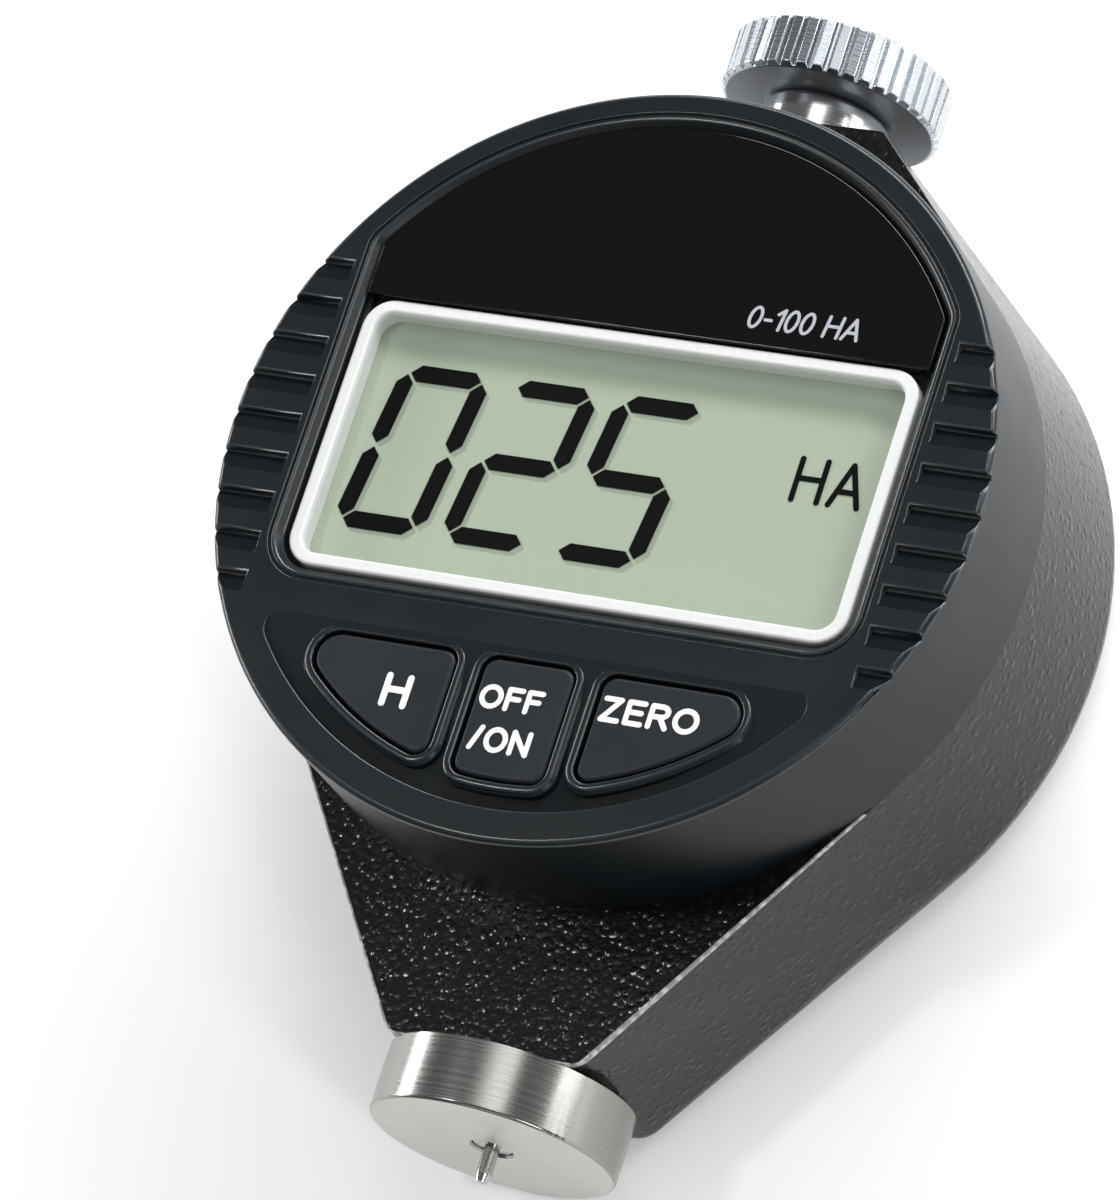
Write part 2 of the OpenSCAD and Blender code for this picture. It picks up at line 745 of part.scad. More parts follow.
// Cover that is held between the head and the casting, with a spigot in the casting's pocket
spigot_h = 1.3;
peg_x = pocket_r - 9;
module head_rear_cover() {
    color(plastic_black)
        difference() {
            union() {
                translate([0, 0, seat_z])
                    cylinder(r = inner_r - 0.1, h = cover_t);
                translate([0, 0, seat_z - spigot_h])
                    difference() {
                        cylinder(r = pocket_r - 0.15, h = spigot_h + 0.2);
                        translate([0, 0, -1])
                            cylinder(r = pocket_r - 1.6, h = 4);
                    }
                for (p = [[-peg_x, -6], [peg_x, -6], [peg_x, 6]])
                    translate([p[0], p[1], seat_z + 0.5])
                        cylinder(r = 1.2, h = board_z - seat_z - 0.5);
            }
            at_posts()
                translate([0, 0, seat_z - 3])
                    cylinder(r = post_r + 0.6, h = 8);
            translate([-3.3, header_y - 1.5, seat_z - 3])
                cube([6.6, 3, 8]);
        }
}

// Black panel above the display, in the same recess
module nameplate() {
    color([0.03, 0.03, 0.035])
        intersection() {
            slab(recess_outline(-0.12), ledge_z, face_z - 0.2);
            translate([-head_d, display_y + surround_h / 2 + 0.15, 0])
                cube([2 * head_d, head_d, 2 * face_z]);
        }
}

module lcd_surround() {
    color([0.92, 0.92, 0.91])
        difference() {
            slab(round_box([0, display_y], surround_w, surround_h, 2.25), panel_z + panel_t, face_z - 0.45);
            slab(round_box([0, display_y], surround_w - 2 * surround_band, surround_h - 2 * surround_band, 1.4),
                panel_z, face_z + 1);
        }
}

module display_window() {
    color([0.85, 0.9, 0.9, 0.35])
        slab(round_box([0, display_y], surround_w - 2 * surround_band - 0.1,
            surround_h - 2 * surround_band - 0.1, 1.35), panel_z + panel_t + 0.1, face_z - 0.95);
}

module lcd_panel() {
    color([0.62, 0.68, 0.6])
        translate([-panel_w / 2, display_y - panel_h / 2, panel_z])
            cube([panel_w, panel_h, panel_t]);
}

module elastomer_strips() {
    color([0.3, 0.3, 0.3])
        for (s = [-1, 1])
            translate([2.2 - panel_w / 2, display_y + s * (panel_h / 2 - 1.2) - 0.8, board_top_z])
                cube([panel_w - 4.4, 1.6, panel_z - board_top_z]);
}

module main_board() {
    color(board_green)
        difference() {
            translate([0, 0, board_z])
                cylinder(r = ledge_r - 0.8, h = board_t);
            at_posts()
                translate([0, 0, board_z - 1])
                    cylinder(r = post_r + 0.3, h = 4);
            for (p = board_bosses)
                translate([p[0], p[1], board_z - 1])
                    cylinder(r = 0.9, h = 4);
            on_tray()
                translate([tray_u0 - 0.4, -tray_hw - 0.4, board_z - 1])
                    cube([head_r, 2 * tray_hw + 0.8, 4]);
        }
}

module controller_chip() {
    color(plastic_black)
        translate([-13, -7, board_z - 0.9])
            cube([7, 7, 0.9]);
}

module board_screws() {
    color(steel)
        for (p = board_bosses)
            translate([p[0], p[1], 0]) {
                translate([0, 0, board_z - 0.2])
                    cylinder(r = 0.7, h = board_t + 2.8);
                translate([0, 0, board_z - 0.9])
                    cylinder(r = 1.4, h = 0.9);
            }
}

// A key: its cap, the flange that keeps it in the head and the plunger over its dome
module key(cap, small_cap, flange, at) {
    color([0.08, 0.08, 0.085]) {
        slab(flange, flange_z, flange_z + flange_t);
        hull() {
            slab(cap, flange_z + 0.2, key_top_z - 0.2);
            slab(small_cap, key_top_z - 0.05, key_top_z);
        }
        translate([at[0], at[1], board_top_z + dome_h + seat_gap])
            cylinder(r = 1.3, h = flange_z + 0.4 - board_top_z - dome_h - seat_gap);
    }
}

module hold_button() {
    mirror([1, 0, 0])
        key(side_outline(0), side_outline(-0.2), side_outline(flange_w), side_key_at);
}

module power_button() {
    key(middle_outline(0), middle_outline(-0.2), middle_outline(flange_w), middle_key_at);
}

module zero_button() {
    key(side_outline(0), side_outline(-0.2), side_outline(flange_w), side_key_at);
}

// Snap dome under a key
dome_ball = (dome_r * dome_r + dome_h * dome_h) / 2 / dome_h;
module dome(at) {
    color(steel)
        translate([at[0], at[1], board_top_z])
            intersection() {
                translate([0, 0, dome_h - dome_ball])
                    difference() {
                        sphere(r = dome_ball);
                        sphere(r = dome_ball - 0.2);
                    }
                translate([-5, -5, 0])
                    cube([10, 10, 5]);
            }
}

module hold_dome() {
    dome([-side_key_at[0], side_key_at[1]]);
}

module power_dome() {
    dome(middle_key_at);
}

module zero_dome() {
    dome(side_key_at);
}

// Tray for the button cell, whose outer end follows the head's wall
module battery_tray() {
    color(plastic_black)
        on_tray()
            difference() {
                intersection() {
                    translate([tray_u0, -tray_hw, tray_z0])
                        cube([head_r, 2 * tray_hw, tray_top_z - tray_z0]);
                    cylinder(r = head_r - 0.05, h = 2 * face_z);
                }
                translate([cell_u, 0, cell_z])
                    cylinder(r = cell_d / 2 + 0.1, h = 20);
                translate([cell_u, 0, tray_z0 - 1])
                    cylinder(r = cell_d / 2 - 1.6, h = 20);
                translate([head_r - 0.55, -4, tray_z0 + 2.6])
                    cube([5, 8, 1]);
            }
}

module battery_cell() {
    color(steel)
        on_tray()
            translate([cell_u, 0, cell_z])
                rotate_extrude()
                    polygon([[0, 0], [cell_d / 2 - 1, 0], [cell_d / 2 - 1, 0.5], [cell_d / 2, 0.9],
                        [cell_d / 2, cell_h - 0.2], [cell_d / 2 - 0.2, cell_h], [0, cell_h]]);
}

// Spring strip from the board to the face of the cell, between two heights
module contact(z0, z1, foot_z0, foot_z1) {
    color(brass)
        on_tray() {
            translate([tray_u0 - 1.9, -1.5, z0])
                cube([cell_u - tray_u0 + 3, 3, z1 - z0]);
            translate([tray_u0 - 1.9, -1.5, foot_z0])
                cube([0.3, 3, foot_z1 - foot_z0]);
        }
}

module upper_contact() {
    contact(under_z - 0.2, under_z, board_top_z, under_z);
}

module lower_contact() {
    contact(cover_top_z, cover_top_z + 0.2, cover_top_z, board_z);
}

// Countersunk screws that pull the head onto the casting
module head_screws() {
    color(steel)
        at_posts()
            difference() {
                union() {
                    translate([0, 0, 0.05])
                        cylinder(r1 = screw_d + 0.2, r2 = screw_d / 2, h = screw_d / 2 + 0.2);
                    translate([0, 0, 0.5])
                        cylinder(d = screw_d, h = casting_depth + 5);
                }
                for (a = [0, 90])
                    rotate([0, 0, a])
                        translate([-1.3, -0.25, -0.5])
                            cube([2.6, 0.5, 1.3]);
            }
}

body_casting();
presser_foot();
indenter();
spindle();
spring_seat();
load_spring();
lower_bush();
spring_adjuster();
lock_nut();
guide_bracket();
bracket_screws();
guide_pin();
scale_carrier();
scale_strip();
sensor_board();
board_header();
knob_stem();
knob();
head_bezel();
head_rear_cover();
nameplate();
lcd_surround();
display_window();
lcd_panel();
elastomer_strips();
main_board();
controller_chip();
board_screws();
hold_button();
power_button();
zero_button();
hold_dome();
power_dome();
zero_dome();
battery_tray();
battery_cell();
upper_contact();
lower_contact();
head_screws();
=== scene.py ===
"""Looks of a digital durometer that lies on its back, laid out as an add-on and run as a script.

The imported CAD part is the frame. Each operator dresses one group of its pieces, and the last sets the studio.
"""

import math

import bmesh
import bpy
from bpy.props import FloatProperty, FloatVectorProperty, IntProperty, PointerProperty, StringProperty
from mathutils import Matrix, Vector


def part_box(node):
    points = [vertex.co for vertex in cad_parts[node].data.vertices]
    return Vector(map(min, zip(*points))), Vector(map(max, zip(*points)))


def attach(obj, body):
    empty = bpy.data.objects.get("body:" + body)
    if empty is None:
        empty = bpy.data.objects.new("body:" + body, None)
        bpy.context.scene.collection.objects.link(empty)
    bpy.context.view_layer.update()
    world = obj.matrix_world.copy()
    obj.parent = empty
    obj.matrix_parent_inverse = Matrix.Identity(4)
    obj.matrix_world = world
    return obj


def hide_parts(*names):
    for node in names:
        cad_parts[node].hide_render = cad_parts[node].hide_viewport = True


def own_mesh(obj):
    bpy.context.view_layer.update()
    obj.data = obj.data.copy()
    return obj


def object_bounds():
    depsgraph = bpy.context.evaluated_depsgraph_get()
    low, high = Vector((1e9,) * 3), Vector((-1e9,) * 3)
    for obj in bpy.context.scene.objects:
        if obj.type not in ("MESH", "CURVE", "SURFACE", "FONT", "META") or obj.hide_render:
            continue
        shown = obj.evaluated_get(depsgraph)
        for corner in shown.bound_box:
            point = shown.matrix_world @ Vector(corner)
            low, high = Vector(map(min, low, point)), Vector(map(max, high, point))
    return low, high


bl_info = {
    "name": "Digital durometer",
    "version": (1, 0, 0),
    "blender": (4, 5, 0),
    "location": "View3D > Sidebar > Durometer",
    "description": "Dresses the packed durometer and sets its studio",
    "category": "Object",
}

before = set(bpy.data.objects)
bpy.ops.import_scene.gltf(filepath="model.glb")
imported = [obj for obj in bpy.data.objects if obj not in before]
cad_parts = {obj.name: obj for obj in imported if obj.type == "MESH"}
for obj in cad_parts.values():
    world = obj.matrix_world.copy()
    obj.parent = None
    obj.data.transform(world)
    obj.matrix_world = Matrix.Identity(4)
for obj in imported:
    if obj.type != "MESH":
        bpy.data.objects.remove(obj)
CAD_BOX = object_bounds()
MM = 0.001

# Corners of a box, and axes by number
LOW, HIGH = 0, 1
Y, Z = 1, 2

# Heights and places read from the frame
KEY_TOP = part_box("power_button")[HIGH].z
PANEL_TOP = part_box("lcd_panel")[HIGH].z
PLATE_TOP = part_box("nameplate")[HIGH].z
DISPLAY_CENTRE = (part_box("lcd_surround")[LOW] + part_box("lcd_surround")[HIGH]) / 2
KNOB_LOW, KNOB_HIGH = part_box("knob")
KNOB_AXIS_Z = (KNOB_LOW.z + KNOB_HIGH.z) / 2


def linear(hex_colour):
    """Linear colour of an sRGB hex value such as 26292C."""
    channels = [int(hex_colour[i:i + 2], 16) / 255 for i in (0, 2, 4)]
    return tuple(c / 12.92 if c <= 0.04045 else ((c + 0.055) / 1.055) ** 2.4 for c in channels)


def colour(name, description, hex_colour):
    """A colour property whose default is an sRGB hex value."""
    return FloatVectorProperty(name=name, description=description, subtype="COLOR", size=3,
                               min=0.0, max=1.0, default=linear(hex_colour))


def length(name, description, millimetres):
    """A length property whose default is given in millimetres."""
    return FloatProperty(name=name, description=description, subtype="DISTANCE", unit="LENGTH",
                         min=0.0, precision=6, default=millimetres * MM)


def power(name, description, watts):
    """A property for the power of a light."""
    return FloatProperty(name=name, description=description, unit="POWER", min=0.0, default=watts)


class DurometerCasting(bpy.types.PropertyGroup):
    """Painted casting"""
    paint: colour("Paint", "Colour of the paint in the valleys of its grain", "0A0A0B")
    crest: colour("Crests", "Colour of the paint on the crests of its grain", "17171A")
    # Colour of the painted highlight along the nose's front edges
    edge_highlight: colour("Painted edge highlight", "Colour of the bright line along the nose's edges", "DADAD6")
    grain: length("Grain", "Width of one pebble of the grain", 0.6)
    relief: length("Relief", "Height of the grain", 0.05)
    line: length("Edge line", "Width of the bright line beside the nose's edges", 0.12)
    line_end: FloatProperty(name="Line's end", description="Place along the body where the bright line ends",
                            subtype="DISTANCE", unit="LENGTH", default=-18.5 * MM)


class DurometerMetal(bpy.types.PropertyGroup):
    """Foot, indenter, neck and knob"""
    steel: colour("Steel", "Colour of the polished foot", "A0A09C")
    # The foot's flat face is lapped and rougher, and its lighter colour is painted light
    lapped_and_lit: colour("Lapped steel with painted light", "Colour of the foot's flat face", "D8D8D4")
    chrome: colour("Chrome", "Colour of the neck", "DADBDC")
    knob: colour("Knob", "Colour of the knob", "BDC2C7")
    # The knob's face towards the foot is rougher, and its darker colour is painted shade
    shaded_underside: colour("Shaded knob face", "Colour of the knob's matt face towards the foot, with painted shade", "8E9296")
    turning: length("Turning marks", "Distance between the marks that the lathe left", 0.12)
    edge: length("Edge", "Rounding of the metal edges", 0.12)
    ridges: IntProperty(name="Ridges", description="Number of ridges round the knob", default=42, min=8)
    ridge_width: length("Ridge width", "Width of one ridge at its foot", 1.04)
    ridge_depth: length("Ridge depth", "How far a ridge stands out", 0.35)
    chamfer: length("Chamfer", "Chamfer at both ends of a ridge", 0.25)


class DurometerHead(bpy.types.PropertyGroup):
    """Plastic head, nameplate and keys"""
    plastic: colour("Housing", "Colour of the housing", "0B1216")
    gloss: colour("Nameplate", "Colour of the gloss panel", "0C0B0B")
    key: colour("Keys", "Colour of the keys", "1A1F24")
    # The rounded edges are glossier, and their lighter colour is a painted highlight along them
    polish_and_highlight: colour("Edges", "Colour of the polished edges, lightened as a painted highlight", "282E32")
    ink: colour("Lettering", "Colour of the printed lettering", "FAFBFB")
    plate_ink: colour("Nameplate ink", "Colour of the range on the nameplate", "B9BCC2")
    texture: length("Texture", "Grain of the moulded surface", 0.18)
    texture_depth: length("Texture depth", "Height of that grain on the housing", 0.006)
    edge: length("Edge", "Rounding of the moulded edges", 0.12)
    plate_edge: length("Nameplate edge", "Rounding of the nameplate's edges", 0.1)
    key_edge: length("Key edge", "Rounding of the keys' upper edges", 0.12)


class DurometerDisplay(bpy.types.PropertyGroup):
    """Display and its reading"""
    reading: StringProperty(name="Reading", description="Digits that the display shows", default="025")
    unit: StringProperty(name="Unit", description="Unit that the display shows", default="HA")
    panel: colour("Panel", "Colour of the liquid crystal panel", "C2CFB9")
    dark: colour("Segments", "Colour of a dark segment", "060705")
    surround: colour("Surround", "Colour of the white surround", "EDEEED")
    edge: length("Surround edge", "Rounding of the surround's edges", 0.18)
    digit_height: length("Digit height", "Height of a digit", 13.0)
    digit_width: length("Digit width", "Width of a digit", 7.2)
    digit_pitch: length("Digit pitch", "Distance from one digit to the next", 8.55)
    stroke: length("Stroke", "Width of a segment", 1.3)
    gap: length("Gap", "Gap between segments", 0.16)
    left: length("Left", "Distance from the display's centre to the first digit", 19.9)
    low: length("Low", "Distance from the display's centre down to the digits", 6.55)
    slant: FloatProperty(name="Slant", description="Slant of the digits", subtype="ANGLE",
                         default=math.radians(7))


class DurometerStage(bpy.types.PropertyGroup):
    """Studio"""
    floor: colour("Floor", "Colour of the floor", "F4F4F4")
    glow: FloatProperty(name="Floor glow", description="Light that lifts the floor to white where it is seen",
                        default=0.25)
    glow_back: FloatProperty(name="Back glow", description="The same light behind the right side",
                             default=0.7)
    back_power: power("Back light", "Power of the long light behind", 7.0)
    front_power: power("Front light", "Power of the light before the foot", 0.22)
    left_power: power("Left panel", "Power of the low panel on the left", 1.7)
    right_power: power("Right strip", "Power of the strip on the right", 0.7)
    top_power: power("Top light", "Power of the light overhead", 0.55)
    edge_power: power("Edge light", "Power of the light on the nose's right edge", 0.8)
    spark_power: power("Spark light", "Power of the small light that the grain catches", 0.5)
    air: FloatProperty(name="Air", description="Strength of the light from all round", default=0.15)
    camera_place: FloatVectorProperty(name="Camera", description="Place of the camera", subtype="TRANSLATION",
                                      unit="LENGTH", default=(0.23502, -0.18403, 0.47796))
    camera_turn: FloatVectorProperty(name="Camera turn", description="Turn of the camera", subtype="EULER",
                                     default=tuple(math.radians(a) for a in (26.386, 20.320, 18.525)))
    lens: FloatProperty(name="Lens", description="Focal length for a 36 mm sensor", default=233.7, min=1.0)


# Materials

# Sockets of a colour Mix node by number, because its names A and B stand for several sockets
FACTOR, FIRST, SECOND, MIXED = 0, 6, 7, 2

# Most of a noise's values lie between these
NOISE = {"From Min": 0.3, "From Max": 0.7}


def add(tree, kind, inputs=None, **settings):
    """Adds a node with its settings, and gives each named or numbered socket a value or a link."""
    node = tree.nodes.new(kind)
    for name, value in settings.items():
        setattr(node, name, value)
    for key, value in (inputs or {}).items():
        if isinstance(value, bpy.types.NodeSocket):
            tree.links.new(value, node.inputs[key])
        else:
            node.inputs[key].default_value = value
    return node


def start(name):
    """A new material, its empty tree and the piece's own coordinates in metres."""
    material = bpy.data.materials.new(name)
    material.use_nodes = True
    tree = material.node_tree
    tree.nodes.clear()
    place = add(tree, "ShaderNodeTexCoord").outputs["Object"]
    return material, tree, place


def per(millimetres):
    """Scale of a pattern whose marks are this far apart."""
    return 1 / (millimetres * MM)


def rgba(three):
    """A colour with its alpha."""
    return (*three, 1.0)


def shade(three, factor):
    """A darker or lighter colour, with its alpha."""
    return rgba(c * factor for c in three)


def grained_paint(name, valley, crest, grain, relief):
    """Pebbled paint on cast aluminium: glossy domes of uneven height that catch specks of light."""
    material, tree, place = start(name)
    warp = add(tree, "ShaderNodeTexNoise", {"Vector": place, "Scale": 0.6 / grain, "Detail": 1.0})
    bent = add(tree, "ShaderNodeVectorMath", {0: warp.outputs["Color"], 1: (grain * 0.35,) * 3},
               operation="MULTIPLY")
    moved = add(tree, "ShaderNodeVectorMath", {0: place, 1: bent.outputs[0]}, operation="ADD")
    pebbles = add(tree, "ShaderNodeTexVoronoi", {
        "Vector": moved.outputs[0], "Scale": 1.0 / grain, "Smoothness": 0.2,
    }, feature="SMOOTH_F1")
    away = pebbles.outputs["Distance"]
    bulge = add(tree, "ShaderNodeMath", {0: away, 1: away}, operation="MULTIPLY")
    crests = add(tree, "ShaderNodeMapRange", {
        "Value": bulge.outputs[0], "From Min": 0.0, "From Max": 0.35, "To Min": 1.0, "To Max": 0.0,
    })
    chance = add(tree, "ShaderNodeSeparateXYZ", {0: pebbles.outputs["Color"]}).outputs["X"]
    rise = add(tree, "ShaderNodeMapRange", {
        "Value": chance, "From Min": 0.5, "From Max": 0.95, "To Min": 0.3, "To Max": 1.2,
    })
    domes = add(tree, "ShaderNodeMath", {0: crests.outputs[0], 1: rise.outputs[0]}, operation="MULTIPLY")
    fine = add(tree, "ShaderNodeTexNoise", {"Vector": place, "Scale": 2.2 / grain, "Detail": 2.0})
    height = add(tree, "ShaderNodeMath", {0: fine.outputs[0], 1: 0.35, 2: domes.outputs[0]},
                 operation="MULTIPLY_ADD")
    bump = add(tree, "ShaderNodeBump", {"Height": height.outputs[0], "Distance": relief, "Strength": 1.0})
    tone = add(tree, "ShaderNodeMix", {FACTOR: crests.outputs[0], FIRST: rgba(valley), SECOND: rgba(crest)},
               data_type="RGBA")
    gloss = add(tree, "ShaderNodeMapRange", {
        "Value": fine.outputs[0], **NOISE, "To Min": 0.16, "To Max": 0.24,
    })
    surface = add(tree, "ShaderNodeBsdfPrincipled", {
        "Base Color": tone.outputs[MIXED], "Roughness": gloss.outputs[0], "IOR": 1.55,
        "Normal": bump.outputs[0],
    })
    add(tree, "ShaderNodeOutputMaterial", {"Surface": surface.outputs[0]})
    return material


def turned_metal(name, tint, roughness, pitch):
    """Turned bright metal: a mirror with faint rings across the lathe's axis that draw out its highlights."""
    material, tree, place = start(name)
    split = add(tree, "ShaderNodeSeparateXYZ", {0: place})
    wander = add(tree, "ShaderNodeTexNoise", {"Vector": place, "Scale": per(2.86), "Detail": 2.0})
    rings = add(tree, "ShaderNodeTexNoise", {"W": split.outputs["Y"], "Scale": 1.0 / pitch, "Detail": 3.0},
                noise_dimensions="1D")
    bump = add(tree, "ShaderNodeBump", {"Height": rings.outputs[0], "Distance": 0.002 * MM, "Strength": 0.5})
    tone = add(tree, "ShaderNodeMix", {
        FACTOR: wander.outputs[0], FIRST: shade(tint, 0.9), SECOND: rgba(tint),
    }, data_type="RGBA")
    gloss = add(tree, "ShaderNodeMapRange", {
        "Value": rings.outputs[0], **NOISE, "To Min": roughness * 0.8, "To Max": roughness * 1.3,
    })
    surface = add(tree, "ShaderNodeBsdfPrincipled", {
        "Base Color": tone.outputs[MIXED], "Metallic": 1.0, "Roughness": gloss.outputs[0],
        "Normal": bump.outputs[0],
    })
    add(tree, "ShaderNodeOutputMaterial", {"Surface": surface.outputs[0]})
    return material


def moulded_plastic(name, tint, grain, relief, roughness, shine=0.36):
    """Moulded plastic: a fine spark-eroded texture that spreads the light into a soft sheen.

    The roughness wanders between the two values that are given.
    """
    material, tree, place = start(name)
    low, high = roughness
    texture = add(tree, "ShaderNodeTexNoise", {
        "Vector": place, "Scale": 1.0 / grain, "Detail": 2.0, "Roughness": 0.6,
    })
    cloud = add(tree, "ShaderNodeTexNoise", {"Vector": place, "Scale": per(8.33), "Detail": 2.0})
    bump = add(tree, "ShaderNodeBump", {"Height": texture.outputs[0], "Distance": relief, "Strength": 1.0})
    tone = add(tree, "ShaderNodeMix", {
        FACTOR: texture.outputs[0], FIRST: shade(tint, 0.92), SECOND: shade(tint, 1.06),
    }, data_type="RGBA")
    gloss = add(tree, "ShaderNodeMapRange", {
        "Value": cloud.outputs[0], **NOISE, "To Min": low, "To Max": high,
    })
    surface = add(tree, "ShaderNodeBsdfPrincipled", {
        "Base Color": tone.outputs[MIXED], "Roughness": gloss.outputs[0], "Specular IOR Level": shine,
        "Normal": bump.outputs[0],
    })
    add(tree, "ShaderNodeOutputMaterial", {"Surface": surface.outputs[0]})
    return material


def gloss_acrylic(look):
    """Polished black acrylic: a deep gloss with the faintest waviness and dust-fine haze."""
    material, tree, place = start("Gloss black acrylic")
    wave = add(tree, "ShaderNodeTexNoise", {"Vector": place, "Scale": per(11.1), "Detail": 1.0})
    haze = add(tree, "ShaderNodeTexNoise", {"Vector": place, "Scale": per(0.4), "Detail": 1.0})
    bump = add(tree, "ShaderNodeBump", {"Height": wave.outputs[0], "Distance": 0.01 * MM, "Strength": 0.4})
    tone = add(tree, "ShaderNodeMix", {
        FACTOR: haze.outputs[0], FIRST: shade(look.gloss, 0.8), SECOND: rgba(look.gloss),
    }, data_type="RGBA")
    gloss = add(tree, "ShaderNodeMapRange", {
        "Value": haze.outputs[0], **NOISE, "To Min": 0.06, "To Max": 0.12,
    })
    surface = add(tree, "ShaderNodeBsdfPrincipled", {
        "Base Color": tone.outputs[MIXED], "Roughness": gloss.outputs[0], "IOR": 1.49,
        "Normal": bump.outputs[0],
    })
    add(tree, "ShaderNodeOutputMaterial", {"Surface": surface.outputs[0]})
    return material


def clear_acrylic():
    """Clear acrylic pane: nearly nothing to see but a thin gloss."""
    material, tree, place = start("Clear acrylic pane")
    haze = add(tree, "ShaderNodeTexNoise", {"Vector": place, "Scale": per(2.5), "Detail": 1.0})
    gloss = add(tree, "ShaderNodeMapRange", {
        "Value": haze.outputs[0], **NOISE, "To Min": 0.04, "To Max": 0.07,
    })
    surface = add(tree, "ShaderNodeBsdfPrincipled", {
        "Base Color": rgba(linear("101412")), "Roughness": gloss.outputs[0], "IOR": 1.49, "Alpha": 0.06,
    })
    add(tree, "ShaderNodeOutputMaterial", {"Surface": surface.outputs[0]})
    return material


def liquid_crystal(look):
    """Reflective liquid crystal panel: grey-green with a metallic silk from the foil behind it."""
    material, tree, place = start("Reflective liquid crystal panel")
    silk = add(tree, "ShaderNodeTexNoise", {"Vector": place, "Scale": per(0.25), "Detail": 1.0})
    cloud = add(tree, "ShaderNodeTexNoise", {"Vector": place, "Scale": per(16.7), "Detail": 1.0})
    both = add(tree, "ShaderNodeMath", {0: silk.outputs[0], 1: cloud.outputs[0]}, operation="MULTIPLY")
    tone = add(tree, "ShaderNodeMix", {
        FACTOR: both.outputs[0], FIRST: shade(look.panel, 0.94), SECOND: shade(look.panel, 1.06),
    }, data_type="RGBA")
    gloss = add(tree, "ShaderNodeMapRange", {
        "Value": silk.outputs[0], **NOISE, "To Min": 0.35, "To Max": 0.5,
    })
    surface = add(tree, "ShaderNodeBsdfPrincipled", {
        "Base Color": tone.outputs[MIXED], "Roughness": gloss.outputs[0], "Specular IOR Level": 0.3,
    })
    add(tree, "ShaderNodeOutputMaterial", {"Surface": surface.outputs[0]})
    return material


def printed_ink(name, tint, sheen=0.5):
    """Screen-printed ink: flat and even, with a slight tooth."""
    material, tree, place = start(name)
    tooth = add(tree, "ShaderNodeTexNoise", {"Vector": place, "Scale": per(0.167), "Detail": 2.0})
    tone = add(tree, "ShaderNodeMix", {
        FACTOR: tooth.outputs[0], FIRST: shade(tint, 0.95), SECOND: rgba(tint),
    }, data_type="RGBA")
    gloss = add(tree, "ShaderNodeMapRange", {
        "Value": tooth.outputs[0], **NOISE, "To Min": 0.5, "To Max": 0.65,
    })
    surface = add(tree, "ShaderNodeBsdfPrincipled", {
        "Base Color": tone.outputs[MIXED], "Roughness": gloss.outputs[0], "Specular IOR Level": sheen,
    })
    add(tree, "ShaderNodeOutputMaterial", {"Surface": surface.outputs[0]})
    return material


def solder_mask():
    """Green solder mask: a waxy gloss over faint copper tracks."""
    material, tree, place = start("Green solder mask on glass fibre")
    tracks = add(tree, "ShaderNodeTexBrick", {
        "Vector": place, "Scale": 1.0, "Color1": rgba(linear("1F5A38")), "Color2": rgba(linear("1B5033")),
        "Mortar": rgba(linear("2E7A4C")), "Mortar Size": 0.2 * MM, "Brick Width": 4.5 * MM,
        "Row Height": 1.2 * MM,
    })
    wax = add(tree, "ShaderNodeTexNoise", {"Vector": place, "Scale": per(1.11), "Detail": 1.0})
    gloss = add(tree, "ShaderNodeMapRange", {"Value": wax.outputs[0], **NOISE, "To Min": 0.28, "To Max": 0.4})
    surface = add(tree, "ShaderNodeBsdfPrincipled", {
        "Base Color": tracks.outputs[0], "Roughness": gloss.outputs[0],
    })
    add(tree, "ShaderNodeOutputMaterial", {"Surface": surface.outputs[0]})
    return material


def zebra_silicone():
    """Striped contact silicone: carbon layers 0.2 mm apart between pale ones."""
    material, tree, place = start("Striped contact silicone")
    # Length of one wave of a Wave texture at scale 1
    wave_length = math.pi / 10
    bands = add(tree, "ShaderNodeTexWave", {"Vector": place, "Scale": wave_length * per(0.2)},
                wave_type="BANDS", bands_direction="X")
    tone = add(tree, "ShaderNodeMix", {
        FACTOR: bands.outputs["Fac"], FIRST: rgba(linear("151515")), SECOND: rgba(linear("B9A894")),
    }, data_type="RGBA")
    surface = add(tree, "ShaderNodeBsdfPrincipled", {"Base Color": tone.outputs[MIXED], "Roughness": 0.7})
    add(tree, "ShaderNodeOutputMaterial", {"Surface": surface.outputs[0]})
    return material


# Shapes

def new_piece(name, bm):
    """An object at the origin that holds this mesh."""
    mesh = bpy.data.meshes.new(name)
    bm.to_mesh(mesh)
    bm.free()
    piece = bpy.data.objects.new(name, mesh)
    bpy.context.scene.collection.objects.link(piece)
    return piece


def smooth(piece, angle):
    """Smooth shading that breaks at edges sharper than this angle in degrees, with flat faces kept flat."""
    piece.data.polygons.foreach_set("use_smooth", [True] * len(piece.data.polygons))
    piece.data.set_sharp_from_angle(angle=math.radians(angle))
    flat = piece.modifiers.new("Flat faces", "WEIGHTED_NORMAL")
    flat.keep_sharp = True


def declare(piece, body, slot, material, *nodes):
    """Gives a piece its material and its body, and hides the CAD nodes that it stands for; its slot is not
    used.
    """
    piece.data.materials.clear()
    piece.data.materials.append(material)
    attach(piece, body)
    if nodes:
        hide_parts(*nodes)
    return piece


def refinish(piece, material, chosen):
    """Gives the faces whose normal is chosen a finish of their own."""
    piece.data.materials.append(material)
    for face in piece.data.polygons:
        if chosen(face.normal):
            face.material_index = len(piece.data.materials) - 1


def reach(face, edge):
    """How far a face stretches from one of its edges."""
    end, along = edge.verts[0].co, (edge.verts[1].co - edge.verts[0].co).normalized()
    return max((v.co - end - along * (v.co - end).dot(along)).length for v in face.verts)


